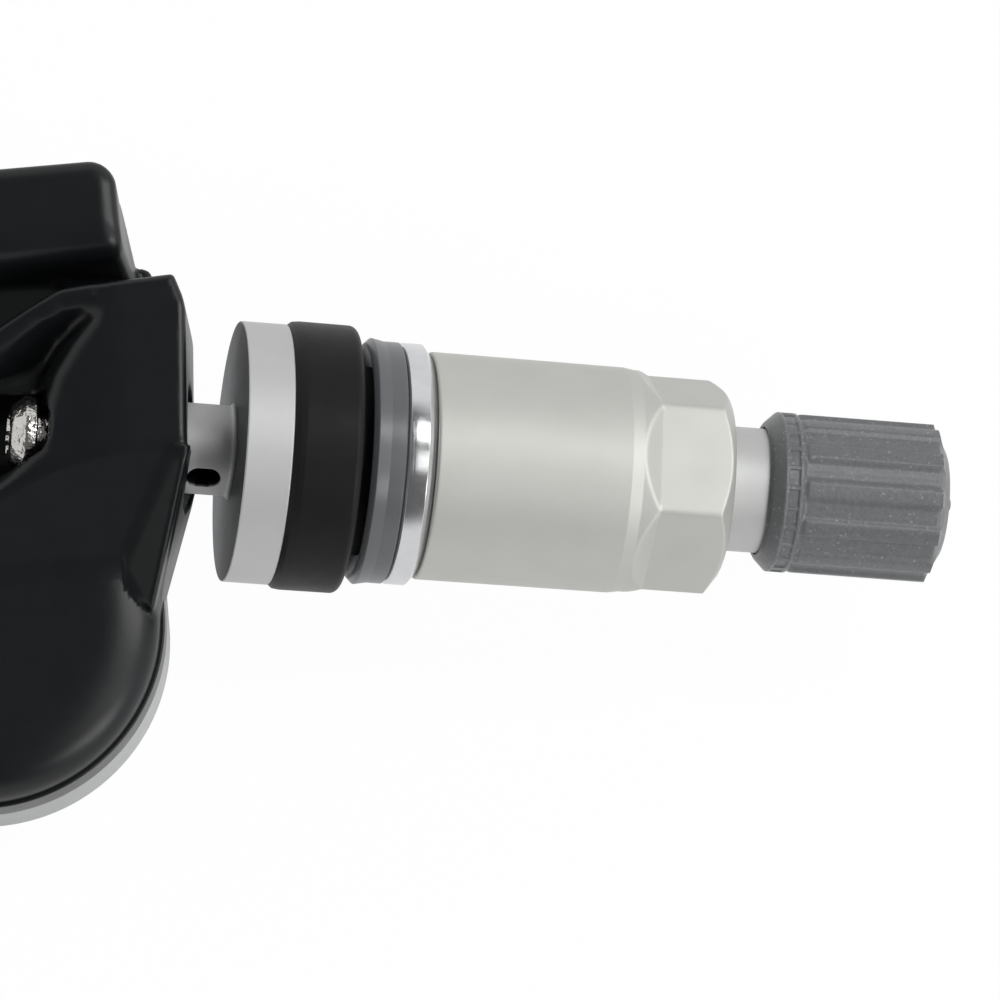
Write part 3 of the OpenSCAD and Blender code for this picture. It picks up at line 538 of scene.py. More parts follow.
def seat(piece: bpy.types.Object, body: Body, slot: str, *nodes: str) -> None:
    """Lets a piece ride on a body and stand for its CAD nodes.

    Args:
        piece: The piece.
        body: The body that it moves with.
        slot: The record's material slot; not used.
        nodes: The CAD nodes that it replaces.
    """
    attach(piece, body.value)
    if nodes:
        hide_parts(*nodes)
    LOG.info("%s rides on %s", piece.name, body.value)


def dress(node: str, finish: Finish) -> None:
    """Gives a CAD node its finish.

    Args:
        node: The CAD node's name.
        finish: The finish that it gets.
    """
    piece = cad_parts[node]
    if not piece.material_slots:
        piece.data.materials.append(None)
    for slot in piece.material_slots:
        slot.material = finish.build()
    LOG.info("%s is dressed in %s", node, finish.name)


def rounded(outline: Outline, steps: int = 4) -> Section:
    """Rounds the corners of a closed outline.

    Args:
        outline: For each corner its two coordinates and its fillet radius.
        steps: Number of chords in each fillet.

    Returns:
        The outline's points.
    """
    made = []
    for i, (u, v, radius) in enumerate(outline):
        here = np.array((u, v))
        back = np.array(outline[i - 1][:2]) - here
        ahead = np.array(outline[(i + 1) % len(outline)][:2]) - here
        length_back, length_ahead = np.linalg.norm(back), np.linalg.norm(ahead)
        back, ahead = back / length_back, ahead / length_ahead
        half = math.acos(float(np.clip(back @ ahead, -1, 1))) / 2
        if radius <= 0 or half > math.radians(FLAT_HALF_DEG):
            made.append((u, v))
            continue
        run = min(radius / math.tan(half), FILLET_REACH * length_back, FILLET_REACH * length_ahead)
        radius = run * math.tan(half)
        middle = here + (back + ahead) / np.linalg.norm(back + ahead) * radius / math.sin(half)
        first, last = here + back * run - middle, here + ahead * run - middle
        start = math.atan2(first[1], first[0])
        turn = (math.atan2(last[1], last[0]) - start + math.pi) % (2 * math.pi) - math.pi
        for k in range(steps + 1):
            angle = start + turn * k / steps
            made.append((middle[0] + radius * math.cos(angle), middle[1] + radius * math.sin(angle)))
    return made


def refined(outline: Section, step: float, low: float, high: float, above: float = 0.0) -> Section:
    """Splits the outline's long lines between two stations, so that a shape can be carved there.

    Args:
        outline: Points as stations along the axis and radii.
        step: Longest line that is left.
        low: First station of the stretch.
        high: Last station of the stretch.
        above: Lines within this radius are left as they are.

    Returns:
        The outline with more points.
    """
    made = []
    for i, here in enumerate(outline):
        there = outline[(i + 1) % len(outline)]
        made.append(here)
        off = max(here[0], there[0]) < low or min(here[0], there[0]) > high
        if off or min(here[1], there[1]) < above:
            continue
        parts = max(1, math.ceil(math.dist(here, there) / step))
        start, run = np.array(here), np.array(there) - np.array(here)
        made += [tuple(start + run * k / parts) for k in range(1, parts)]
    return made


def ring_faces(rings: int, count: int, closed: bool) -> list[list[int]]:
    """Joins rings of points with four-sided faces.

    Args:
        rings: Number of rings.
        count: Number of points in each ring.
        closed: Whether the last ring joins the first.

    Returns:
        Lists of point numbers.
    """
    return [
        [i * count + j, i * count + (j + 1) % count,
         (i + 1) % rings * count + (j + 1) % count, (i + 1) % rings * count + j]
        for i in range(rings if closed else rings - 1) for j in range(count)
    ]


def revolved(
    name: str, outline: Section, finish: Finish, segments: int = SEGMENTS,
    shape: Optional[Shape] = None, sharp_deg: float = SHARP_DEG,
) -> bpy.types.Object:
    """Turns a closed outline about the valve's axis.

    Args:
        name: The piece's name.
        outline: Stations along the axis and radii, in order around the section.
        finish: The finish that dresses it.
        segments: Number of steps around the axis.
        shape: Takes stations, radii and angles, and gives the carved radii.
        sharp_deg: Edges that turn by more than this stay sharp.

    Returns:
        The piece.
    """
    stations, radii = np.array(outline).T
    angles = np.linspace(0, 2 * math.pi, segments, endpoint=False)
    along = np.repeat(stations[:, None], segments, 1)
    away = np.repeat(radii[:, None], segments, 1)
    around = np.repeat(angles[None, :], len(stations), 0)
    if shape:
        away = shape(along, away, around)
    points = np.stack((along, -away * np.sin(around), away * np.cos(around)), -1).reshape(-1, 3)
    return make_piece(name, points, ring_faces(len(stations), segments, True), finish, sharp_deg)


def soft_min(a: Array, b: Array, blend: float) -> Array:
    """Returns the smaller of two values, blended where they are close."""
    share = np.clip(0.5 + 0.5 * (b - a) / blend, 0, 1)
    return b + (a - b) * share - blend * share * (1 - share)


def ramp(way: Array, run: float) -> Array:
    """Returns how much of a run has been gone, from zero to one."""
    return np.clip(way / run, 0, 1)


def thread_cut(along: Array, around: Array, pitch: float, depth: float) -> Array:
    """Draws a helical thread about the valve's axis.

    Args:
        along: Stations along the axis.
        around: Angles about the axis.
        pitch: Distance from one turn to the next.
        depth: Depth from crest to root.

    Returns:
        How far the surface moves away from the crest.
    """
    tooth = np.abs(((along / pitch - around / (2 * math.pi)) % 1) * 2 - 1)
    return depth * np.clip(FLANK_GAIN * tooth - CREST_SHARE, 0, 1)


def carve(piece: bpy.types.Object, cutter: bpy.types.Object) -> None:
    """Cuts one piece out of another and removes the cutter.

    Args:
        piece: The piece that is cut.
        cutter: The closed form that is taken away.
    """
    cut = piece.modifiers.new("cut", "BOOLEAN")
    cut.operation = "DIFFERENCE"
    cut.solver = "EXACT"
    cut.object = cutter
    piece.modifiers.move(len(piece.modifiers) - 1, 0)
    bpy.context.view_layer.update()
    seen = bpy.context.evaluated_depsgraph_get()
    baked = bpy.data.meshes.new_from_object(piece.evaluated_get(seen))
    old = piece.data
    piece.modifiers.clear()
    piece.data = baked
    bpy.data.meshes.remove(old)
    bpy.data.objects.remove(cutter)


def prism(name: str, loop: list[Vector], depth: Vector, finish: Finish) -> bpy.types.Object:
    """Makes a closed prism.

    Args:
        name: The piece's name.
        loop: Points around its first end, in millimetres.
        depth: The way from the first end to the other, in millimetres.
        finish: The finish that dresses it.

    Returns:
        The piece.
    """
    count = len(loop)
    points = [tuple(p) for p in loop] + [tuple(p + depth) for p in loop]
    faces = [list(range(count)), list(range(count, 2 * count))] + ring_faces(2, count, False)
    return make_piece(name, np.array(points), faces, finish)


# Sub-assemblies


@dataclass
class ValveLine:
    """Stations and thread that the valve's pieces share, along its axis from the rim's hole."""

    ball_x: float = -13.4
    collar_front: float = -4.3
    shoulder_end: float = 1.3
    nut_start: float = 4.7
    pitch: float = 0.794


@dataclass
class ValveStem(ValveLine):
    """Turned stem with its ball foot, slotted neck, collar, shank and two threads."""

    # Ball foot, neck and collar
    ball_r: float = 3.6
    ball_flat: float = 0.35
    ball_steps: int = 24
    neck_r: float = 2.8
    neck_round: float = 0.3
    collar_back: float = -7.2
    collar_r: float = 8.05
    rim_round: float = 0.12
    # Shank and threads
    shank_r: float = 4.2
    lead_in: float = 0.4
    nut_thread_r: float = 4.6
    nut_thread_end: float = 15.4
    nut_runout: float = 0.8
    runout_round: float = 0.2
    valve_thread_r: float = 3.875
    valve_thread_start: float = 27.0
    tip: float = 34.6
    tip_round: float = 0.08
    thread_depth: float = 0.38
    thread_wall: float = 0.5
    bevel: float = 0.6
    relief: float = 0.3
    edge_round: float = 0.1
    skin: float = 0.1
    # Bore, from the tip inwards, and the hole for the foot screw
    chamber_r: float = 2.64
    chamber_start: float = 29.2
    seat_r: float = 2.15
    seat_start: float = 25.2
    well_r: float = 1.95
    well_start: float = 20.3
    bore_r: float = 1.25
    tap_r: float = 1.5
    tap_len: float = 2.6
    # Air slot through the neck's wall
    slot_x: float = -9.0
    slot_len: float = 2.1
    slot_w: float = 1.45
    slot_turn: float = 53.0
    slot_start: float = 0.4
    slot_depth: float = 4.0
    slot_steps: int = 32
    slot_zone: float = 1.6
    # How finely the stem is meshed
    segments: int = 176
    thread_step: float = 0.1
    slot_step: float = 0.12
    corner_steps: int = 5
    sharp_deg: float = 40.0
    # What counts as the collar's back, which gets the painted dark reflection and shade of the housing
    painted_shade_turn: float = 0.95
    painted_shade_near: float = 0.05

    def outline(self) -> Section:
        """Draws the stem's section, from the flat on its ball outside to the tip and back inside.

        Returns:
            The section's points.
        """
        foot = self.ball_x - self.ball_r + self.ball_flat
        tap_end = self.ball_x + self.tap_len
        first = math.acos((foot - self.ball_x) / self.ball_r)
        last = math.asin(self.neck_r / self.ball_r)
        ball = [
            (self.ball_x + self.ball_r * math.cos(a), self.ball_r * math.sin(a), 0.0)
            for a in np.linspace(first, last, self.ball_steps)
        ]
        return rounded([
            *ball,
            (self.collar_back, self.neck_r, self.neck_round),
            (self.collar_back, self.collar_r, self.edge_round),
            (self.collar_front, self.collar_r, self.rim_round),
            (self.collar_front, self.shank_r, self.edge_round),
            (self.shoulder_end, self.shank_r, 0), (self.shoulder_end + self.lead_in, self.nut_thread_r, 0),
            (self.nut_thread_end - self.bevel, self.nut_thread_r, self.edge_round),
            (self.nut_thread_end, self.valve_thread_r, self.runout_round),
            (self.tip - self.bevel, self.valve_thread_r, self.edge_round),
            (self.tip, self.valve_thread_r - self.bevel, self.tip_round),
            (self.tip, self.chamber_r, self.tip_round), (self.chamber_start, self.chamber_r, 0),
            (self.chamber_start - self.relief, self.seat_r, 0), (self.seat_start, self.seat_r, 0),
            (self.seat_start - self.bevel, self.well_r, 0), (self.well_start, self.well_r, 0),
            (self.well_start, self.bore_r, 0), (tap_end, self.bore_r, 0),
            (tap_end, self.tap_r, 0), (foot, self.tap_r, 0),
        ], self.corner_steps)

    def cut_threads(self, along: Array, away: Array, around: Array) -> Array:
        """Cuts both threads.

        Args:
            along: Stations along the axis.
            away: Radii before the cuts.
            around: Angles about the axis.

        Returns:
            Radii after the cuts.
        """
        depth = thread_cut(along, around, self.pitch, self.thread_depth)
        made = away.copy()
        for radius, low, high in (
            (self.nut_thread_r, self.shoulder_end + 1, self.nut_thread_end - self.nut_runout),
            (self.valve_thread_r, self.valve_thread_start, self.tip - self.relief),
        ):
            ease = ramp(along - low, self.pitch) * ramp(high + self.relief - along, self.relief)
            cut = np.minimum(made, np.maximum(away - depth * ease, 0))
            made = np.where(away > radius - self.thread_wall, cut, made)
        return made

    def slot_cutter(self) -> bpy.types.Object:
        """Makes the closed form that mills the air slot.

        Returns:
            The cutter.
        """
        half = (self.slot_len - self.slot_w) / 2
        turn = math.radians(self.slot_turn)
        out = Vector((0, -math.sin(turn), math.cos(turn)))
        side = Vector((0, math.cos(turn), math.sin(turn)))
        loop = []
        for k in range(self.slot_steps):
            angle = 2 * math.pi * (k + 0.5) / self.slot_steps
            run = math.copysign(half, math.cos(angle)) + self.slot_w / 2 * math.cos(angle)
            across = side * (self.slot_w / 2 * math.sin(angle))
            loop.append(Vector((self.slot_x + run, 0, 0)) + across + out * self.slot_start)
        return prism("slot_cutter", loop, out * self.slot_depth, STEM_ALUMINIUM)

    def build(self) -> None:
        """Builds the stem and seats it."""
        outline = self.outline()
        skin = self.chamber_r + self.skin
        for step, low, high in (
            (self.thread_step, self.shoulder_end, self.nut_thread_end),
            (self.thread_step, self.valve_thread_start, self.tip - self.relief),
            (self.slot_step, self.slot_x - self.slot_zone, self.slot_x + self.slot_zone),
        ):
            outline = refined(outline, step, low, high, skin)
        stem = revolved(
            "stem_turned", outline, STEM_ALUMINIUM, self.segments, self.cut_threads, self.sharp_deg
        )
        carve(stem, self.slot_cutter())
        # The collar's back face gets a darker colour that paints in the housing's dark reflection and shade
        stem.data.materials.append(COLLAR_BACK_PAINTED_SHADE.build())
        for face in stem.data.polygons:
            near = abs(face.center.x / MM - self.collar_back) < self.painted_shade_near
            if near and face.normal.x < -self.painted_shade_turn:
                face.material_index = 1
        seat(stem, Body.VALVE, "stem_metal", "valve_stem")


@dataclass
class Seals(ValveLine):
    """Rubber grommet and the two washers under the nut."""

    # Grommet: a flange with a lip at the collar and a shoulder that fills the rim's hole
    grommet_r: float = 8.3
    grommet_bore: float = 4.23
    grommet_round: float = 0.5
    shoulder_r: float = 5.85
    shoulder_round: float = 0.35
    lip_drop: float = 0.3
    lip_start: float = 0.3
    lip_end: float = 0.75
    lip_inset: float = 0.05
    lip_round: float = 0.15
    rim_draft: float = 0.02
    # Both washers
    washer_r: float = 7.47
    washer_bore: float = 4.7
    # Slip washer, with a flared rim that reaches back over the grommet
    slip_start: float = 1.4
    slip_rim: float = 0.65
    slip_end: float = 2.75
    slip_fit: float = 0.05
    slip_dish: float = 0.5
    slip_dish_round: float = 0.2
    slip_flare: float = 0.16
    slip_edge: float = 0.32
    slip_cone_end: float = 1.75
    slip_bevel: tuple[float, float] = (0.08, 0.12)
    # Bright washer: length and depth of its bevels, the small one at the slip washer first
    small_bevel: tuple[float, float] = (0.2, 0.25)
    broad_bevel: tuple[float, float] = (0.6, 0.72)
    # Fillets, from the sharpest cut edge to the softest moulded one
    keen: float = 0.03
    cut: float = 0.04
    bored: float = 0.05
    turned: float = 0.06
    eased: float = 0.1
    soft: float = 0.3
    # Chords in each fillet of the grommet and of the slip washer
    grommet_steps: int = 8
    slip_steps: int = 5
    grommet_sharp_deg: float = 50.0

    def grommet(self) -> None:
        """Makes the grommet: a flange with a lip at the collar, a rolled rim and a shoulder."""
        back, top = self.collar_front, self.grommet_r
        outline = rounded([
            (back, self.grommet_bore, 0), (back, top - self.lip_drop, self.eased),
            (back + self.lip_start, top - self.lip_inset, self.lip_round),
            (back + self.lip_end, top, self.soft),
            (0.0, top - self.rim_draft, self.grommet_round), (0.0, self.shoulder_r, self.soft),
            (self.shoulder_end, self.shoulder_r, self.shoulder_round),
            (self.shoulder_end, self.grommet_bore, self.eased),
        ], self.grommet_steps)
        piece = revolved("grommet_moulded", outline, EPDM_RUBBER, sharp_deg=self.grommet_sharp_deg)
        seat(piece, Body.VALVE, "grommet_rubber", "rubber_grommet")

    def slip_washer(self) -> None:
        """Makes the slip washer, whose dished face takes the grommet's shoulder."""
        flare_r = self.washer_r + self.slip_flare
        bevel_len, bevel_depth = self.slip_bevel
        outline = rounded([
            (self.slip_start, self.washer_bore, self.bored),
            (self.slip_start, self.shoulder_r + self.slip_fit, self.slip_dish_round),
            (self.slip_rim, self.washer_r - self.slip_dish, self.eased),
            (self.slip_rim, flare_r - self.slip_edge, self.turned),
            (self.slip_rim + self.slip_edge, flare_r, self.eased),
            (self.slip_cone_end, self.washer_r, self.turned),
            (self.slip_end - bevel_len, self.washer_r, self.cut),
            (self.slip_end, self.washer_r - bevel_depth, self.cut),
            (self.slip_end, self.washer_bore, self.bored),
        ], self.slip_steps)
        piece = revolved("slip_washer_moulded", outline, GREY_ACETAL)
        seat(piece, Body.WASHERS, "slip_plastic", "slip_washer")

    def nut_washer(self) -> None:
        """Makes the bright washer with its bevelled outer edge."""
        small_len, small_depth = self.small_bevel
        broad_len, broad_depth = self.broad_bevel
        outline = rounded([
            (self.slip_end, self.washer_bore, self.bored),
            (self.slip_end, self.washer_r - small_depth, self.keen),
            (self.slip_end + small_len, self.washer_r, self.cut),
            (self.nut_start - broad_len, self.washer_r, self.turned),
            (self.nut_start, self.washer_r - broad_depth, self.turned),
            (self.nut_start, self.washer_bore, self.bored),
        ])
        piece = revolved("nut_washer_polished", outline, POLISHED_NICKEL)
        seat(piece, Body.WASHERS, "washer_metal", "nut_washer")

    def build(self) -> None:
        """Builds the three pieces."""
        self.grommet()
        self.slip_washer()
        self.nut_washer()


@dataclass
class ClampNut(ValveLine):
    """Long nut with a plain skirt and a milled hexagon."""

    end: float = 23.5
    # Skirt, and the cone from it down to the hexagon
    skirt_r: float = 7.05
    skirt_end_r: float = 7.0
    skirt_end: float = 16.8
    start_round: float = 0.18
    skirt_round: float = 0.35
    cone: float = 0.75
    cone_rise: float = 0.02
    # Hexagon
    corner_r: float = 6.86
    flat: float = 6.0
    chamfer: float = 0.9
    face_inset: float = 0.5
    face_round: float = 0.12
    runout_start: float = 17.4
    runout_len: float = 1.35
    hex_turn: float = -2.4
    sides: int = 6
    flat_blend: float = 0.1
    # Thread and bore
    thread_r: float = 4.68
    thread_depth: float = 0.36
    thread_end: float = 16.0
    end_bore_r: float = 4.175
    bore_cone: float = 0.5
    bore_round: float = 0.1
    thread_round: float = 0.15
    lead: float = 0.2
    thread_skin: float = 0.05
    flat_skin: float = 0.3
    # How finely the nut is meshed
    segments: int = 288
    flat_step: float = 0.1
    skirt_step: float = 0.26
    corner_steps: int = 5
    sharp_deg: float = 28.0

    def outline(self) -> Section:
        """Draws the nut's section, around the outside from the washers and back inside.

        Returns:
            The section's points.
        """
        return rounded([
            (self.nut_start, self.skirt_r, self.start_round),
            (self.skirt_end, self.skirt_end_r, self.skirt_round),
            (self.skirt_end + self.cone, self.corner_r + self.cone_rise, self.skirt_round),
            (self.end - self.chamfer, self.corner_r, self.face_round),
            (self.end - self.face_round, self.flat - self.face_inset / 2, self.face_round),
            (self.end, self.flat - self.face_inset, self.face_round / 2),
            (self.end, self.end_bore_r, self.bore_round),
            (self.thread_end + self.bore_cone, self.end_bore_r, 0),
            (self.thread_end, self.thread_r, 0), (self.nut_start, self.thread_r, self.thread_round),
        ], self.corner_steps)

    def mill(self, along: Array, away: Array, around: Array) -> Array:
        """Mills the six flats with their run-outs and cuts the inner thread.

        Args:
            along: Stations along the axis.
            away: Radii before the cuts.
            around: Angles about the axis.

        Returns:
            Radii after the cuts.
        """
        rise = np.clip((along - self.runout_start) / self.runout_len, -1, 1)
        height = self.skirt_r + (self.flat - self.skirt_r) * rise
        side = 2 * math.pi / self.sides
        turned = around - math.radians(self.hex_turn)
        off = (turned + side / 2) % side - side / 2
        milled = soft_min(away, height / np.cos(off), self.flat_blend)
        inside = away < self.thread_r + self.thread_skin
        cut = inside & (along < self.thread_end) & (along > self.nut_start + self.lead)
        grooved = away + thread_cut(along, around, self.pitch, self.thread_depth) * cut
        return np.where(inside, grooved, np.where(away > self.end_bore_r + self.flat_skin, milled, away))

    def build(self) -> None:
        """Builds the nut and seats it."""
        skin = self.thread_r + self.flat_skin
        outline = refined(self.outline(), self.flat_step, self.skirt_end - self.lead, self.end, skin)
        outline = refined(outline, self.skirt_step, self.nut_start, self.skirt_end)
        nut = revolved("nut_milled", outline, SATIN_ALUMINIUM, self.segments, self.mill, self.sharp_deg)
        seat(nut, Body.NUT, "nut_metal", "valve_nut")


@dataclass
class DustCap:
    """Ribbed cap with a panelled ring at its mouth and a domed end with a moulding nib."""

    # Stations along the valve
    start: float = 25.95
    cone_end: float = 26.75
    ring_end: float = 27.85
    rib_end: float = 36.7
    end: float = 37.5
    nib_end: float = 38.1
    floor: float = 36.1
    # Radii
    ring_r: float = 4.97
    outer_r: float = 4.93
    mouth_r: float = 4.35
    bore_r: float = 3.955
    bore_bevel: float = 0.15
    skin: float = 0.2
    nib_r: float = 0.35
    nib_foot_r: float = 0.7
    # How far the rounded end draws in from the ribs' feet, step by step, and its fillets
    dome: tuple[float, float, float] = (0.6, 1.3, 2.2)
    dome_rounds: tuple[float, float, float] = (0.3, 0.5, 0.6)
    dome_step: float = 0.3
    # Small steps along the valve and the fillets between them
    nick: float = 0.1
    ring_foot: float = 0.25
    nib_rise: float = 0.05
    mouth_round: float = 0.08
    ring_round: float = 0.12
    nib_round: float = 0.15
    foot_round: float = 0.2
    end_round: float = 0.25
    # Ribs: shares of half their spacing, and lengths along the valve
    ribs: int = 12
    valley: float = 0.27
    valley_dish: float = 0.18
    rib_half: float = 0.66
    rib_flank: float = 0.34
    first_gap: float = 0.1
    first_len: float = 0.4
    last_over: float = 0.45
    last_len: float = 0.5
    # Panels of the ring: shares of their spacing, and lengths along the valve
    panels: int = 24
    panel_depth: float = 0.1
    panel_gap: float = 0.07
    panel_flank: float = 0.05
    panel_margins: tuple[float, float] = (0.16, 0.18)
    panel_edge: float = 0.06
    turn: float = 5.6
    # Lengths of the finer mesh past the ring, and before and past the ribs' end
    ring_over: float = 0.45
    head_zone: tuple[float, float] = (0.7, 0.6)
    # How finely the cap is meshed
    segments: int = 384
    ring_step: float = 0.06
    head_step: float = 0.07
    corner_steps: int = 5
    sharp_deg: float = 50.0

    def outline(self) -> Section:
        """Draws the cap's section, round the outside from the mouth and back inside.

        Returns:
            The section's points.
        """
        foot_r = self.outer_r - self.valley
        stations = (self.rib_end + self.dome_step, self.end - self.nick, self.end)
        dome = [(s, foot_r - inset, r) for s, inset, r in zip(stations, self.dome, self.dome_rounds)]
        return rounded([
            (self.start, self.bore_r + self.bore_bevel, self.mouth_round),
            (self.start + self.bore_bevel, self.mouth_r, self.nick),
            (self.cone_end, self.ring_r, self.ring_round), (self.ring_end, self.ring_r, self.ring_round),
            (self.ring_end + self.ring_foot, foot_r, self.foot_round),
            (self.rib_end - self.nick, foot_r, self.end_round), *dome,
            (self.end + self.nib_rise, self.nib_foot_r, self.foot_round),
            (self.nib_end, self.nib_r, self.nib_round), (self.nib_end, ON_AXIS, 0),
            (self.floor, ON_AXIS, 0), (self.floor, self.bore_r, self.foot_round),
            (self.start, self.bore_r, self.mouth_round),
        ], self.corner_steps)

    def mould(self, along: Array, away: Array, around: Array) -> Array:
        """Moulds the ribs, which swell softly and end in rounded heads, and the panels of the ring.

        Args:
            along: Stations along the axis.
            away: Radii before.
            around: Angles about the axis.

        Returns:
            Radii after.
        """
        turned = around + math.radians(self.turn)
        rib = math.pi / self.ribs
        off = (turned % (2 * rib)) / rib - 1
        rise = ramp(self.rib_half - np.abs(off), self.rib_flank)
        crown = rise * rise * (3 - 2 * rise)
        swell = np.maximum(self.outer_r - away, 0) * crown - self.valley_dish * self.valley * off * off
        first = ramp(along - self.ring_end - self.first_gap, self.first_len)
        last = ramp(self.rib_end + self.last_over - along, self.last_len)
        head = np.sqrt(1 - (1 - first) ** 2) * np.sqrt(1 - (1 - last) ** 2)
        outside = away > self.bore_r + self.skin
        made = np.where(outside & (along > self.ring_end), away + swell * head, away)
        panel = (turned * self.panels / (2 * math.pi)) % 1
        wall = ramp(0.5 - np.abs(panel - 0.5) - self.panel_gap, self.panel_flank)
        back, front = self.panel_margins
        lengthways = ramp(along - self.cone_end - back, self.panel_edge)
        lengthways = lengthways * ramp(self.ring_end - front - along, self.panel_edge)
        return np.where(outside, made - self.panel_depth * wall * lengthways, made)

    def build(self) -> None:
        """Builds the cap and seats it."""
        skin = self.bore_r + self.skin
        before, past = self.head_zone
        outline = refined(
            self.outline(), self.ring_step, self.cone_end, self.ring_end + self.ring_over, skin
        )
        outline = refined(outline, self.head_step, self.rib_end - before, self.rib_end + past, skin)
        cap = revolved("cap_moulded", outline, FLAKED_NYLON, self.segments, self.mould, self.sharp_deg)
        seat(cap, Body.CAP, "cap_plastic", "valve_cap")


@dataclass
class FootScrew:
    """Pan-head screw with a six-lobed drive."""

    under: float = -19.4
    head_r: float = 2.45
    head_h: float = 1.6
    head_edge: float = 0.9
    edge_round: float = 0.3
    under_round: float = 0.15
    neck_round: float = 0.1
    crown_inset: float = 0.75
    crown_round: float = 0.7
    shank_r: float = 1.45
    point_round: float = 0.05
    length: float = 8.4
    point: float = 0.3
    recess_r: float = 1.32
    recess_depth: float = 1.1
    lobes: int = 6
    lobe_share: float = 0.14
    segments: int = 96
    corner_steps: int = 6

    def recess_cutter(self) -> bpy.types.Object:
        """Makes the closed form that presses the drive into the head.

        Returns:
            The cutter.
        """
        top = self.under - self.head_h
        loop = []
        for k in range(self.segments):
            angle = 2 * math.pi * k / self.segments
            radius = self.recess_r * (1 - self.lobe_share + self.lobe_share * math.cos(self.lobes * angle))
            loop.append(Vector((top - 1, radius * math.sin(angle), radius * math.cos(angle))))
        return prism("recess_cutter", loop, Vector((1 + self.recess_depth, 0, 0)), NICKELED_STEEL)

    def build(self) -> None:
        """Builds the screw and seats it."""
        top, end = self.under - self.head_h, self.under + self.length
        outline = rounded([
            (end, ON_AXIS, 0), (end, self.shank_r - self.point, self.point_round),
            (end - self.point, self.shank_r, 0), (self.under, self.shank_r, self.neck_round),
            (self.under, self.head_r, self.under_round), (top + self.head_edge, self.head_r, self.edge_round),
            (top, self.head_r - self.crown_inset, self.crown_round), (top, ON_AXIS, 0),
        ], self.corner_steps)
        screw = revolved("screw_headed", outline, NICKELED_STEEL, self.segments)
        carve(screw, self.recess_cutter())
        seat(screw, Body.VALVE, "screw_nickel", "foot_screw")


@dataclass
class BodyFrame(ValveLine):
    """Place and plan of the sensor body, which sits at an angle on the valve's ball foot."""

    droop: float = 10.5
    swing: float = 7.0
    end_r: float = 11.5
    side: float = 1.2
    cell_y: float = -10.1
    far_y: float = 17.1
    corner_r: float = 1.7
    least_corner_r: float = 0.3
    base: float = -8.5
    seam: float = -4.4
    lip: float = -2.15
    wall: float = 1.2
    taper_y: float = 10.0
    taper: float = 0.013

    @property
    def cell_x(self) -> float:
        """Place of the round end's middle across the body."""
        return self.side - self.end_r

    def matrix(self) -> Array:
        """Returns the turn from the body's own frame to the valve's."""
        tip = Matrix.Rotation(math.radians(-self.droop), 3, "Y")
        return np.array(tip @ Matrix.Rotation(math.radians(self.swing), 3, "Z"))

    def to_part(self, points: Array) -> Array:
        """Moves points from the body's own frame to the part's."""
        return points @ self.matrix().T + np.array((self.ball_x, 0, 0))

    def plan_loop(self, inset: float, ends: int = 96, corners: int = 8) -> Array:
        """Draws the body's plan, drawn in by an inset.

        Args:
            inset: Distance in from the side walls.
            ends: Chords in the round end.
            corners: Chords in each far corner.

        Returns:
            Points across and along the body, the same number for every inset.
        """
        radius = self.end_r - inset
        corner = max(self.corner_r - inset, self.least_corner_r)
        loop = [
            (self.cell_x - radius * math.cos(a), self.cell_y - radius * math.sin(a))
            for a in np.linspace(0, math.pi, ends)
        ]
        for sign, first in ((1, 0.0), (-1, math.pi / 2)):
            middle = (self.cell_x + sign * (radius - corner), self.far_y - inset - corner)
            loop += [
                (middle[0] + corner * math.cos(a), middle[1] + corner * math.sin(a))
                for a in np.linspace(first, first + math.pi / 2, corners)
            ]
            turn = (self.cell_x + sign * radius, self.taper_y)
            loop = loop[:ends] + [turn] + loop[ends:] if sign > 0 else loop + [turn]
        made = np.array(loop)
        share = 1 - self.taper * np.maximum(made[:, 1] - self.taper_y, 0)
        made[:, 0] = self.cell_x + (made[:, 0] - self.cell_x) * share
        return made

    def sweep(self, name: str, section: Outline, finish: Finish, open_middle: bool) -> bpy.types.Object:
        """Sweeps a section around the plan.

        Args:
            name: The piece's name.
            section: For each corner its inset, its height and its fillet radius.
            finish: The finish that dresses it.
            open_middle: Whether the section closes on itself and leaves the middle open.

        Returns:
            The piece.
        """
        rings = rounded(section)
        points = []
        for inset, height in rings:
            loop = self.plan_loop(inset)
            points.append(np.column_stack((loop, np.full(len(loop), height))))
        count = len(points[0])
        faces = ring_faces(len(rings), count, open_middle)
        if not open_middle:
            faces += [list(range(count)), list(range((len(rings) - 1) * count, len(rings) * count))]
        return make_piece(name, self.to_part(np.concatenate(points)), faces, finish)


def round_cut(a: Array, b: Array, radius: float) -> Array:
    """Returns the distance to what two forms share, with a rounded edge."""
    edge = np.hypot(np.maximum(a + radius, 0), np.maximum(b + radius, 0))
    return np.minimum(-radius, np.maximum(a, b)) + edge


def round_join(a: Array, b: Array, radius: float) -> Array:
    """Returns the distance to two forms together, with a fillet between them."""
    fillet = np.hypot(np.maximum(radius - a, 0), np.maximum(radius - b, 0))
    return np.maximum(radius, np.minimum(a, b)) - fillet


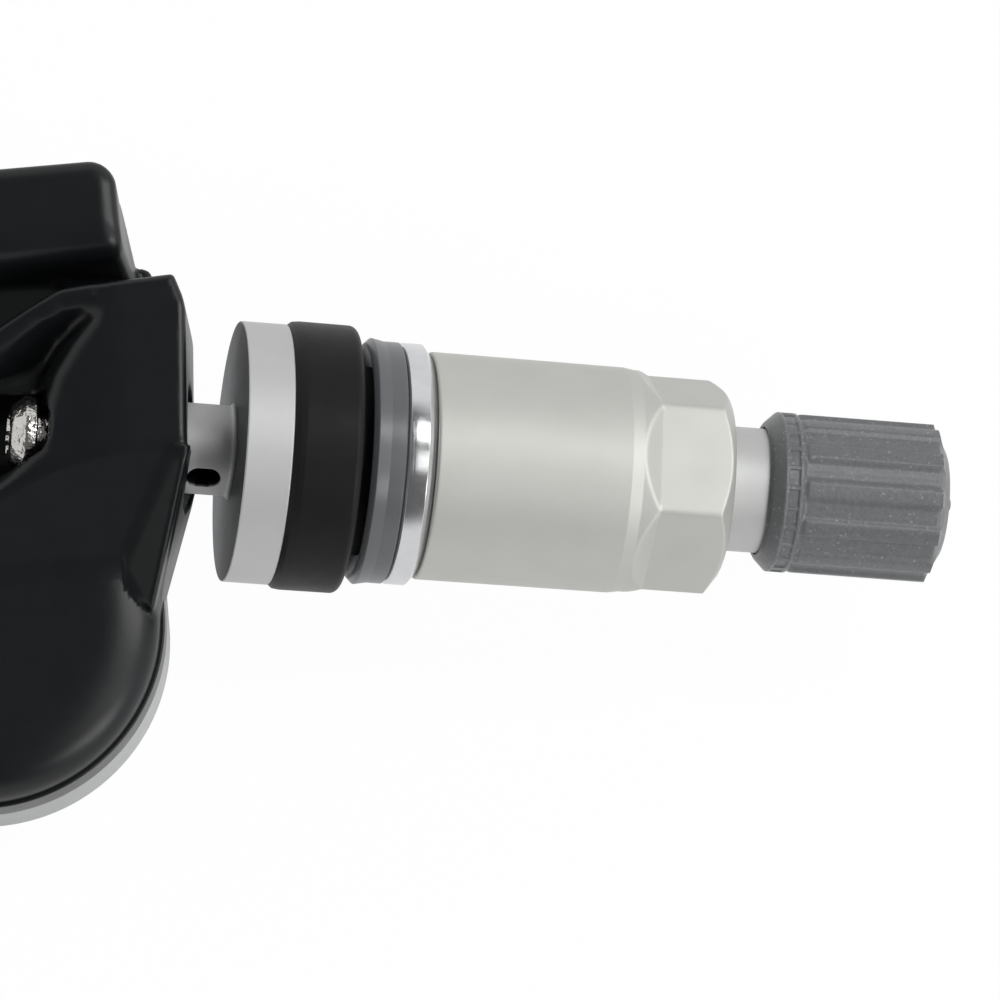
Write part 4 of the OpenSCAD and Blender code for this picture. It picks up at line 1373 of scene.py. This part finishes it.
def surface_net(field: Array, low: Array, step: float) -> tuple[Array, Array]:
    """Meshes the zero surface of a field that is sampled on a grid.

    Args:
        field: Signed distances, negative inside.
        low: The grid's lowest corner.
        step: The grid's spacing.

    Returns:
        The points and the four-sided faces.
    """
    cells = tuple(n - 1 for n in field.shape)
    total = np.zeros((*cells, 3))
    hits = np.zeros(cells, int)
    rings = []
    for axis in range(3):
        first = np.moveaxis(field, axis, 0)[:-1]
        second = np.moveaxis(field, axis, 0)[1:]
        crossed = np.moveaxis((first < 0) != (second < 0), 0, axis)
        where = np.argwhere(crossed)
        others = [(axis + 1) % 3, (axis + 2) % 3]
        inside = np.all([(where[:, o] > 0) & (where[:, o] < cells[o]) for o in others], 0)
        where = where[inside]
        ahead = where.copy()
        ahead[:, axis] += 1
        start, end = field[tuple(where.T)], field[tuple(ahead.T)]
        point = where.astype(float)
        point[:, axis] += start / (start - end)
        corners = []
        for back in ((0, 0), (1, 0), (1, 1), (0, 1)):
            cell = where.copy()
            cell[:, others[0]] -= back[0]
            cell[:, others[1]] -= back[1]
            np.add.at(total, tuple(cell.T), point)
            np.add.at(hits, tuple(cell.T), 1)
            corners.append(np.ravel_multi_index(cell.T, cells))
        ring = np.stack(corners, 1)
        rings.append(np.where((start < 0)[:, None], ring, ring[:, ::-1]))
    used = hits.ravel() > 0
    number = np.cumsum(used) - 1
    points = total.reshape(-1, 3)[used] / hits.ravel()[used, None] * step + low
    return points, number[np.concatenate(rings)]


@dataclass
class SensorHousing(BodyFrame):
    """Moulded upper housing, described by its signed distance in the body's own frame."""

    # Deck with its rolled edge
    deck: float = 0.5
    roll_w: float = 4.0
    roll_curve: float = 2.5
    lip_w: float = 0.25
    lip_cover: float = 0.3
    lip_round: float = 0.12
    seam_round: float = 0.08
    rim_inset: float = 0.6
    # Far block
    block_top: float = 5.0
    block_front: float = 9.9
    block_lean: float = 0.2
    block_round: float = 1.2
    front_round: float = 2.0
    block_edge: float = 0.8
    block_foot: float = 0.5
    block_far: float = 17.05
    side_draft: float = 0.098
    # Cradle with its slope, crest and wing
    cradle_round: float = 0.5
    wall_round: float = 0.25
    wing_inset: float = 0.4
    wing_round: float = 0.3
    crease_round: float = 0.3
    chin: float = -5.0
    chin_round: float = 0.8
    foot_fillet: float = 0.45
    slope: float = 35.3
    slope_y: float = -1.35
    crest_x: float = -4.0
    crest_fall: float = 0.35
    crest_round: float = 1.5
    # Rib down the slope's outer side: a point of its top, the top's upward direction, and its edges
    rib_start: tuple[float, float, float] = (2.9, -1.33, 5.0)
    rib_tilt: tuple[float, float, float] = (-0.459, -0.3, 0.835)
    rib_round: float = 0.4
    rib_back: float = 0.2
    rib_foot_round: float = 0.6
    rib_fillet: float = 0.3
    # Screw's pocket
    pocket_lean: float = 0.4
    pocket_sink: float = 0.9
    pocket_round: float = 0.3
    bank_round: float = 0.8
    rim_round: float = 0.8
    # Ball seat, mouth, driver's way and screw's slot
    socket_r: float = 3.68
    mouth_r: float = 3.8
    driver_r: float = 2.7
    driver_fan: float = 7.6
    driver_up: float = 0.113
    driver_down: float = 0.182
    driver_round: float = 0.2
    web_flat: float = 5.4
    web_r: float = 5.95
    shank_r: float = 1.55
    shank_swing: float = 2.55
    shank_over: float = 1.0
    way_round: float = 0.35
    # Short rib and small boss at the block's foot: their middles, sizes and edges
    tab_at: tuple[float, float, float] = (1.3, 10.9, -3.2)
    tab_r: float = 0.75
    tab_half: float = 1.0
    tab_round: float = 0.3
    tab_fillet: float = 0.2
    boss_at: tuple[float, float, float] = (-3.5, 10.75, 0.3)
    boss_r: float = 0.7
    boss_height_share: float = 0.6
    boss_fillet: float = 0.3
    # Space for the electronics
    roof: float = -2.6
    loft_front: float = 13.7
    # Grid of the mesh, and the steps that bring its points onto the surface
    step: float = 0.24
    grid_margin: float = 0.6
    grid_right: float = 5.4
    settle_rounds: int = 3
    settle_reach: float = 0.1
    least_slope: float = 0.2
    probe: float = 0.02

    # Corners across and along the body, seen from above: the cradle's walls, its rib's leg, and the
    # pocket's two banks, on the ball seat's side and on the far wing's
    cradle_corners: Corners = (
        (-17.5, 2.55), (-3.5, 9.05), (3.6, 9.33), (4.2, 7.4), (3.55, -2.35), (1.05, -9.4),
    )
    leg_corners: Corners = (
        (0.95, -10.9), (0.0, -10.3), (-0.62, -9.6), (-1.06, -8.94), (-1.15, -7.3), (-1.15, -1.0),
    )
    seat_side: Corners = (
        (-0.6, 14.0), (-1.1, 8.0), (-1.45, 6.9), (-2.7, 5.4), (-3.9, 3.6), (-4.55, 2.05), (-5.0, 0.2),
        (-5.3, -0.75), (-6.2, -1.25), (-7.4, -2.1), (-8.35, -2.6), (-14.5, -4.8), (-25.0, -6.0),
        (-25.0, -20.0), (14.0, -20.0), (14.0, 14.0),
    )
    wing_side: Corners = (
        (1.0, 20.0), (-1.1, 8.0), (-3.3, 8.0), (-4.8, 7.5), (-6.5, 6.4), (-7.6, 5.8), (-9.0, 5.3),
        (-25.0, 7.0), (-25.0, 20.0),
    )
    # Blocks that stay solid around the valve's seat: both ends across the body, both along it, and
    # how far each comes down below the roof
    solid_blocks: Corners = (
        (-100.0, 100.0, -4.8, 6.0, 0.0), (-12.3, 100.0, -5.5, 8.2, 0.0), (-10.0, -3.5, -0.3, 3.6, 0.7),
    )

    def plan_gap(self, x: Array, y: Array) -> Array:
        """Measures the distance to the body's plan.

        Args:
            x: Places across the body.
            y: Places along the body.

        Returns:
            Distances, negative inside.
        """
        share = 1 - self.taper * np.maximum(y - self.taper_y, 0)
        across = np.abs(x - self.cell_x) / share
        end = np.hypot(x - self.cell_x, y - self.cell_y) - self.end_r
        return np.where(y < self.cell_y, end, self.corner_gap(across, y, self.end_r, self.far_y))

    def corner_gap(self, across: Array, y: Array, half: Array, far: float) -> Array:
        """Measures the distance to a rectangle with round far corners, open at its near end.

        Args:
            across: Places out from the rectangle's middle line.
            y: Places along the body.
            half: Half the rectangle's width.
            far: Place of its far side.

        Returns:
            Distances, negative inside.
        """
        out = across - (half - self.corner_r)
        up = y - (far - self.corner_r)
        corner = np.hypot(np.maximum(out, 0), np.maximum(up, 0))
        return corner + np.minimum(np.maximum(out, up), 0) - self.corner_r

    def deck_gap(self, x: Array, y: Array, z: Array, inset: float) -> Array:
        """Measures the distance to the rolled deck.

        Args:
            x: Places across the body.
            y: Places along the body.
            z: Heights.
            inset: How far the deck is drawn in.

        Returns:
            Distances, negative inside.
        """
        rise = self.deck - self.lip - inset
        out = (self.plan_gap(x, y) + self.lip_w + inset + self.roll_w) / self.roll_w
        up = (z - self.lip) / rise
        bent = np.maximum(out, 0) ** self.roll_curve + np.maximum(up, 0) ** self.roll_curve
        rolled = (bent + TINY) ** (1 / self.roll_curve) - 1
        inner = np.maximum(out, up) - 1
        return np.where(np.maximum(out, up) > 0, rolled, inner) * rise

    def block_gap(self, x: Array, y: Array, z: Array) -> Array:
        """Measures the distance to the far block, with its drafted sides and leaning front.

        Args:
            x: Places across the body.
            y: Places along the body.
            z: Heights.

        Returns:
            Distances, negative inside.
        """
        half = self.end_r - (z - self.lip) * self.side_draft
        down = (self.block_top - z) / (self.block_top - self.lip)
        share = 1 - self.taper * np.maximum(y - self.taper_y, 0) * np.clip(down, 0, 1)
        sides = self.corner_gap(np.abs(x - self.cell_x) / share, y, half, self.block_far)
        front = (self.block_front - y + (z - self.lip) * self.block_lean) / math.hypot(1, self.block_lean)
        walls = round_cut(sides, z - self.block_top, self.block_round)
        return round_cut(walls, round_cut(front, z - self.block_top, self.front_round), self.block_edge)

    def edge_gap(
        self, x: Array, y: Array, start: tuple[float, float], end: tuple[float, float]
    ) -> Array:
        """Measures the distance to an upright wall on a line of the plan.

        Args:
            x: Places across the body.
            y: Places along the body.
            start: The line's first point.
            end: Its last point.

        Returns:
            Distances, negative on the line's inner side.
        """
        run = np.array(end) - np.array(start)
        run = run / np.linalg.norm(run)
        return (x - start[0]) * -run[1] + (y - start[1]) * run[0]

    def cradle_gap(self, x: Array, y: Array, z: Array) -> Array:
        """Measures the distance to the cradle before its pocket is cut.

        Args:
            x: Places across the body.
            y: Places along the body.
            z: Heights.

        Returns:
            Distances, negative inside.
        """
        tilt = math.radians(self.slope)
        slope = (z - self.block_top) * math.cos(tilt) - (y - self.slope_y) * math.sin(tilt)
        crest = (z - self.block_top - self.crest_fall * (x - self.crest_x)) / math.hypot(1, self.crest_fall)
        top = round_cut(round_cut(z - self.block_top, crest, self.crest_round), slope, self.crease_round)
        corners = self.cradle_corners
        walls = self.edge_gap(x, y, corners[0], corners[1])
        for start, end in zip(corners[1:-1], corners[2:]):
            walls = round_cut(walls, self.edge_gap(x, y, start, end), self.wall_round)
        made = round_cut(top, walls, self.cradle_round)
        wing_end = np.where(x < self.cell_x, self.plan_gap(x, y) + self.wing_inset, -self.end_r)
        made = round_cut(made, wing_end, self.wing_round)
        return round_cut(made, self.chin - z, self.chin_round)

    def leg_gap(self, x: Array, y: Array, z: Array) -> Array:
        """Measures the distance to the rib that runs down the slope's outer side and ends in a low leg.

        Args:
            x: Places across the body.
            y: Places along the body.
            z: Heights.

        Returns:
            Distances, negative inside.
        """
        walls = self.edge_gap(x, y, *self.cradle_corners[-2:])
        for start, end in zip(self.leg_corners[:-1], self.leg_corners[1:]):
            walls = round_cut(walls, self.edge_gap(x, y, start, end), self.wall_round)
        top = sum(
            (place - start) * lean for place, start, lean in zip((x, y, z), self.rib_start, self.rib_tilt)
        )
        made = round_cut(walls, round_cut(top, z - self.block_top, self.rib_round), self.rib_round)
        made = np.maximum(made, y - self.slope_y + self.rib_back)
        return round_cut(made, self.chin - z, self.rib_foot_round)

    def bank_gap(self, x: Array, y: Array, bank: Corners) -> Array:
        """Measures the distance to a bank of the pocket, a closed form in the plan.

        Args:
            x: Places across the body.
            y: Places along the body.
            bank: The bank's corners, in order.

        Returns:
            Distances, negative inside.
        """
        corners = np.array(bank)
        gap = np.full(x.shape, np.inf)
        inside = np.zeros(x.shape, bool)
        for i, here in enumerate(corners):
            there = corners[i - 1]
            run = there - here
            rx, ry = x - here[0], y - here[1]
            share = np.clip((rx * run[0] + ry * run[1]) / (run @ run), 0, 1)
            gap = np.minimum(gap, np.hypot(rx - run[0] * share, ry - run[1] * share))
            over = (here[1] > y) != (there[1] > y)
            with np.errstate(divide="ignore", invalid="ignore"):
                inside ^= over & (rx < run[0] * ry / run[1])
        return np.where(inside, -gap, gap)

    def pocket_gap(self, x: Array, y: Array, z: Array) -> Array:
        """Measures the distance to the screw's pocket, whose banks lean outwards up to the crest.

        Args:
            x: Places across the body.
            y: Places along the body.
            z: Heights.

        Returns:
            Distances, negative inside.
        """
        crest = self.block_top + self.crest_fall * np.minimum(x - self.crest_x, 0)
        lean = (crest - z) * self.pocket_lean
        seat_bank = lean - self.bank_gap(x, y, self.seat_side)
        wing_bank = lean - self.bank_gap(x, y, self.wing_side)
        walls = round_cut(seat_bank, wing_bank, self.bank_round) / math.hypot(1, self.pocket_lean)
        return round_cut(walls, self.deck - self.pocket_sink - z, self.pocket_round)

    def valve_gap(self, x: Array, y: Array, z: Array) -> Array:
        """Measures the distance to what is cut for the ball foot, the neck, the screw and its driver.

        Args:
            x: Places across the body.
            y: Places along the body.
            z: Heights.

        Returns:
            Distances, negative inside.
        """
        axis = self.matrix().T @ np.array((1.0, 0, 0))
        up = self.matrix().T @ np.array((0, 0, 1.0))
        along = x * axis[0] + y * axis[1] + z * axis[2]
        reach = np.sqrt(x * x + y * y + z * z)
        away = np.sqrt(np.maximum(reach * reach - along * along, 0))
        rise = x * up[0] + y * up[1] + z * up[2]
        side = np.sqrt(np.maximum(away * away - rise * rise, 0))
        ball = reach - self.socket_r
        mouth = np.maximum(away - self.mouth_r, -along)
        fan = np.clip(-along, 0, self.driver_fan)
        over = np.maximum(np.maximum(rise - fan * self.driver_up, -fan * self.driver_down - rise), 0)
        driver = np.maximum(np.hypot(side, over) - self.driver_r, along + self.web_flat)
        driver = round_cut(driver, self.web_r - reach, self.driver_round)
        shank = np.hypot(side, np.maximum(np.abs(rise) - self.shank_swing + self.shank_r, 0)) - self.shank_r
        shank = np.maximum(np.maximum(shank, along), -along - self.web_r - self.shank_over)
        return np.minimum(np.minimum(ball, mouth), np.minimum(driver, shank))

    def hollow_gap(self, x: Array, y: Array, z: Array) -> Array:
        """Measures the distance to the space for the electronics.

        Args:
            x: Places across the body.
            y: Places along the body.
            z: Heights.

        Returns:
            Distances, negative inside.
        """
        under = np.maximum(self.plan_gap(x, y) + self.wall, self.deck_gap(x, y, z, self.wall))
        for left, right, near, far, drop in self.solid_blocks:
            across, along = np.maximum(left - x, x - right), np.maximum(near - y, y - far)
            under = np.maximum(under, -np.maximum(np.maximum(across, along), self.roof - drop - z))
        loft = np.maximum(np.abs(x - self.cell_x) - self.end_r + 2 * self.wall, self.loft_front - y)
        loft = np.maximum(np.maximum(loft, y - self.far_y + self.wall), z - self.block_top + self.wall)
        return np.minimum(under, loft)

    def gap(self, points: Array) -> Array:
        """Measures the signed distance to the whole housing above its rim.

        Args:
            points: Points in the body's own frame, in millimetres.

        Returns:
            One distance for each point, negative inside.
        """
        x, y, z = np.moveaxis(points, -1, 0)
        foot = self.lip - self.lip_cover - z
        deck = np.maximum(self.deck_gap(x, y, z, 0), foot)
        block = np.maximum(self.block_gap(x, y, z), foot)
        made = round_join(deck, block, self.block_foot)
        cradle = round_cut(self.cradle_gap(x, y, z), -self.pocket_gap(x, y, z), self.rim_round)
        cradle = round_join(cradle, self.leg_gap(x, y, z), self.rib_fillet)
        made = round_join(made, cradle, self.foot_fillet)
        tab_x, tab_y, tab_z = self.tab_at
        tab = np.hypot(x - tab_x, y - tab_y) - self.tab_r
        tab = round_cut(tab, np.abs(z - tab_z) - self.tab_half, self.tab_round)
        made = round_join(made, tab, self.tab_fillet)
        boss_x, boss_y, boss_z = self.boss_at
        boss = (x - boss_x) ** 2 + (y - boss_y) ** 2 + self.boss_height_share * (z - boss_z) ** 2
        made = round_join(made, np.sqrt(boss) - self.boss_r, self.boss_fillet)
        made = round_cut(made, -self.valve_gap(x, y, z), self.way_round)
        return np.maximum(made, -self.hollow_gap(x, y, z))

    def slope_of(self, points: Array) -> Array:
        """Finds the direction in which the distance grows fastest.

        Args:
            points: Points in the body's own frame, in millimetres.

        Returns:
            One direction for each point, whose length is the distance's growth in a millimetre.
        """
        shifts = np.eye(3) * self.probe
        parts = [self.gap(points + shift) - self.gap(points - shift) for shift in shifts]
        return np.stack(parts, -1) / (2 * self.probe)

    def upper(self) -> None:
        """Meshes the housing above its rim and seats it."""
        reach = self.end_r + self.grid_margin
        low = np.array((self.cell_x - reach, self.cell_y - reach, self.chin - self.grid_margin))
        high = np.array((self.grid_right, self.far_y + self.grid_margin, self.block_top + self.grid_margin))
        counts = np.ceil((high - low) / self.step).astype(int)
        lines = [low[i] + np.arange(counts[i]) * self.step for i in range(3)]
        grid = np.stack(np.meshgrid(*lines, indexing="ij"), -1)
        points, faces = surface_net(self.gap(grid), low, self.step)
        for _ in range(self.settle_rounds):
            slope = self.slope_of(points)
            size = np.maximum((slope * slope).sum(-1, keepdims=True), self.least_slope)
            move = self.gap(points)[:, None] * slope / size
            points = points - np.clip(move, -self.settle_reach, self.settle_reach)
        slope = self.slope_of(points)
        slope /= np.maximum(np.linalg.norm(slope, axis=1, keepdims=True), TINY)
        LOG.info("housing has %d faces", len(faces))
        piece = make_piece(
            "housing_moulded", self.to_part(points), faces.tolist(), GLASS_FILLED_NYLON,
            normals=slope @ self.matrix().T,
        )
        seat(piece, Body.SENSOR, "housing_plastic", "upper_housing")

    def rim(self) -> None:
        """Sweeps the housing's side band and the thin lip on which its rolled edge stands."""
        inner = self.wall + self.rim_inset
        section = [
            (0.0, self.seam, self.seam_round), (0.0, self.lip, self.lip_round), (inner, self.lip, 0),
            (inner, self.seam, 0),
        ]
        piece = self.sweep("housing_rim", section, GLASS_FILLED_NYLON, True)
        seat(piece, Body.SENSOR, "housing_plastic")

    def build(self) -> None:
        """Builds the housing."""
        self.upper()
        self.rim()


@dataclass
class BaseCover(BodyFrame):
    """Light grey tray that closes the body from below."""

    floor_t: float = 1.0
    groove: float = 0.3
    inner_round: float = 0.05
    seam_round: float = 0.12
    base_round: float = 0.5

    def build(self) -> None:
        """Builds the cover and seats it."""
        floor = self.base + self.floor_t
        section = [
            (self.wall + self.groove, floor, 0), (self.wall, floor, 0),
            (self.wall, self.seam, self.inner_round), (0.0, self.seam, self.seam_round),
            (0.0, self.base, self.base_round), (self.wall, self.base, 0),
        ]
        piece = self.sweep("cover_moulded", section, GREY_POLYBUTYLENE, False)
        seat(piece, Body.SENSOR, "cover_plastic", "base_cover")


@dataclass
class InnerParts:
    """Pieces whose CAD solids are shown as they are and only get their finish."""

    finishes: tuple[tuple[str, Finish], ...] = (
        ("cap_seal", NITRILE_RUBBER), ("core_body", TURNED_BRASS), ("core_gasket", FILLED_PTFE),
        ("core_pin", GROUND_STEEL), ("pin_seal", NITRILE_RUBBER), ("core_spring", SPRING_STEEL),
        ("circuit_board", GLASS_EPOXY), ("coin_cell", STAINLESS_CAN), ("positive_tab", NICKEL_STRIP),
        ("negative_tab", NICKEL_STRIP), ("pressure_chip", MOULDED_EPOXY),
        ("transmitter_chip", MOULDED_EPOXY), ("crystal", KOVAR_CAN), ("coil_core", SINTERED_FERRITE),
        ("coil_winding", ENAMELLED_COPPER), ("antenna", TURNED_BRASS),
        ("board_passives", FIRED_CERAMIC), ("port_seal", MOULDED_SILICONE),
        ("port_filter", PTFE_MEMBRANE),
    )

    def build(self) -> None:
        """Dresses each piece."""
        for node, finish in self.finishes:
            dress(node, finish)


@dataclass(frozen=True)
class StripLamp:
    """Soft strip lamp behind the camera, seen from the part's middle."""

    name: str
    lift_deg: float
    side_deg: float
    size_deg: tuple[float, float]
    radiance: float


@dataclass
class Studio:
    """Camera, floor, surround and lamps of a plain product photograph."""

    # Camera: direction from the part, roll, distance, scale, and the valve hole's middle in the picture
    back: tuple[float, float, float] = (-0.1507, -0.2232, 0.9631)
    roll_deg: float = 4.26
    distance_mm: float = 550.0
    px_per_mm: float = 16.2
    picture_px: float = 1000.0
    origin_px: tuple[float, float] = (346.0, 459.8)
    film_mm: float = 36.0
    near_m: float = 0.01
    far_m: float = 20.0
    # Floor: paper that the camera and the metals see nearly white, and that keeps a faint shadow
    floor_gap_mm: float = 0.05
    floor_half_mm: float = 1500.0
    paper: str = "#F2F2F2"
    floor_seen: float = 0.97
    floor_mirrored: float = 0.75
    # Surround: how wide the dim patch overhead is, how softly it ends and how bright it is
    dim_deg: float = 48.0
    dim_fade: float = 20.0
    dim_level: float = 0.16
    # Lamps: their distance, and the station along the valve that they face
    lamp_far_mm: float = 720.0
    lit_x_mm: float = 8.0
    # How far each lamp hangs from the camera's line, towards the picture's top and the valve's tip, how
    # wide and tall the part sees it, and how bright it is beside a white screen
    lamps: tuple[StripLamp, ...] = (
        StripLamp("strip_above", 32.0, 26.0, (40.0, 14.0), 7.6),
        StripLamp("strip_near", 4.0, 26.0, (40.0, 18.0), 1.6),
        StripLamp("strip_below", -24.0, 34.0, (28.0, 16.0), 6.6),
    )

    def camera(self) -> None:
        """Places the camera so that the valve hole's middle falls where the photograph has it."""
        back = Vector(self.back).normalized()
        across = (Vector((1, 0, 0)) - back * back.x).normalized()
        above = back.cross(across)
        roll = math.radians(self.roll_deg)
        right = across * math.cos(roll) + above * math.sin(roll)
        up = above * math.cos(roll) - across * math.sin(roll)
        half = self.picture_px / 2
        shift = right * ((half - self.origin_px[0]) / self.px_per_mm)
        shift += up * ((self.origin_px[1] - half) / self.px_per_mm)
        eye = (shift + back * self.distance_mm) * MM
        data = bpy.data.cameras.new("camera")
        data.sensor_width = self.film_mm
        data.lens = data.sensor_width * self.distance_mm * self.px_per_mm / self.picture_px
        data.clip_start, data.clip_end = self.near_m, self.far_m
        camera = bpy.data.objects.new("camera", data)
        turn = Matrix((right, up, back)).transposed().to_4x4()
        camera.matrix_world = Matrix.Translation(eye) @ turn
        bpy.context.scene.collection.objects.link(camera)
        bpy.context.scene.camera = camera

    def surround(self) -> None:
        """Lights the scene with a plain world: white all round, and dim overhead where the camera hangs."""
        world = bpy.data.worlds.new("surround")
        bpy.context.scene.world = world
        world.use_nodes = True
        tree = world.node_tree
        tree.nodes.clear()
        where = add_node(tree, "ShaderNodeTexCoord")
        facing = add_node(tree, "ShaderNodeVectorMath", {
            0: where.outputs["Generated"], 1: self.back
        }, operation="DOT_PRODUCT")
        strength = add_node(tree, "ShaderNodeMapRange", {
            "Value": facing.outputs["Value"],
            "From Min": math.cos(math.radians(self.dim_deg + self.dim_fade)),
            "From Max": math.cos(math.radians(self.dim_deg)), "To Min": 1.0, "To Max": self.dim_level,
        }, interpolation_type="SMOOTHSTEP")
        light = add_node(tree, "ShaderNodeBackground", {
            "Color": linear(WHITE), "Strength": strength.outputs[0]
        })
        out = add_node(tree, "ShaderNodeOutputWorld")
        tree.links.new(light.outputs[0], out.inputs[0])

    def floor(self) -> None:
        """Lays a white floor under the part, which keeps a faint shadow."""
        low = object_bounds()[0][2] / MM - self.floor_gap_mm
        half = self.floor_half_mm
        points = np.array([(-half, -half, low), (half, -half, low), (half, half, low), (-half, half, low)])
        floor = make_piece("floor", points, [[0, 1, 2, 3]], GREY_ACETAL)
        made = bpy.data.materials.new("white_paper_sweep")
        made.use_nodes = True
        tree = made.node_tree
        tree.nodes.clear()
        ray = add_node(tree, "ShaderNodeLightPath")
        mirrored = add_node(tree, "ShaderNodeMath", {
            0: ray.outputs["Is Glossy Ray"], 1: ray.outputs["Is Transmission Ray"]
        }, operation="MAXIMUM")
        mirrored = add_node(tree, "ShaderNodeMath", {
            0: mirrored.outputs[0], 1: self.floor_mirrored
        }, operation="MULTIPLY")
        seen = add_node(tree, "ShaderNodeMath", {
            0: ray.outputs["Is Camera Ray"], 1: self.floor_seen
        }, operation="MULTIPLY")
        share = add_node(tree, "ShaderNodeMath", {
            0: seen.outputs[0], 1: mirrored.outputs[0]
        }, operation="MAXIMUM")
        paper = add_node(tree, "ShaderNodeBsdfDiffuse", {"Color": linear(self.paper)})
        white = add_node(tree, "ShaderNodeEmission", {"Color": linear(WHITE), "Strength": 1.0})
        mix = add_node(tree, "ShaderNodeMixShader", {
            0: share.outputs[0], 1: paper.outputs[0], 2: white.outputs[0]
        })
        out = add_node(tree, "ShaderNodeOutputMaterial")
        tree.links.new(mix.outputs[0], out.inputs[0])
        floor.data.materials.clear()
        floor.data.materials.append(made)
        floor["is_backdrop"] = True

    def hang(self, lamp: StripLamp) -> None:
        """Hangs a lamp lengthways with the valve, facing the part's middle.

        Args:
            lamp: The lamp's place, size and brightness.
        """
        data = bpy.data.lights.new(lamp.name, "AREA")
        data.shape = "RECTANGLE"
        across = Vector((1, 0, 0))
        back = Vector(self.back)
        back = (back - across * back.x).normalized()
        lift, side = math.radians(lamp.lift_deg), math.radians(lamp.side_deg)
        level = back * math.cos(lift) + back.cross(across) * math.sin(lift)
        out = level * math.cos(side) + across * math.sin(side)
        width = level.cross(out).cross(out).normalized() * -1
        data.size, data.size_y = (
            2 * self.lamp_far_mm * MM * math.tan(math.radians(s / 2)) for s in lamp.size_deg
        )
        data.energy = lamp.radiance * math.pi * data.size * data.size_y
        made = bpy.data.objects.new(lamp.name, data)
        place = (out * self.lamp_far_mm + across * self.lit_x_mm) * MM
        turn = Matrix((width, out.cross(width), out)).transposed().to_4x4()
        made.matrix_world = Matrix.Translation(place) @ turn
        made.visible_camera = False
        bpy.context.scene.collection.objects.link(made)

    def build(self) -> None:
        """Sets up the whole studio."""
        scene = bpy.context.scene
        scene.view_settings.view_transform = "Standard"
        self.camera()
        self.surround()
        self.floor()
        for lamp in self.lamps:
            self.hang(lamp)


def main() -> None:
    """Builds every sub-assembly in order."""
    logging.basicConfig(level=logging.INFO, format="%(name)s: %(message)s")
    for assembly in (
        ValveStem(), Seals(), ClampNut(), DustCap(), FootScrew(), SensorHousing(), BaseCover(), InnerParts(),
        Studio(),
    ):
        assembly.build()
        LOG.info("%s is done", type(assembly).__name__)


if __name__ == "__main__":
    main()
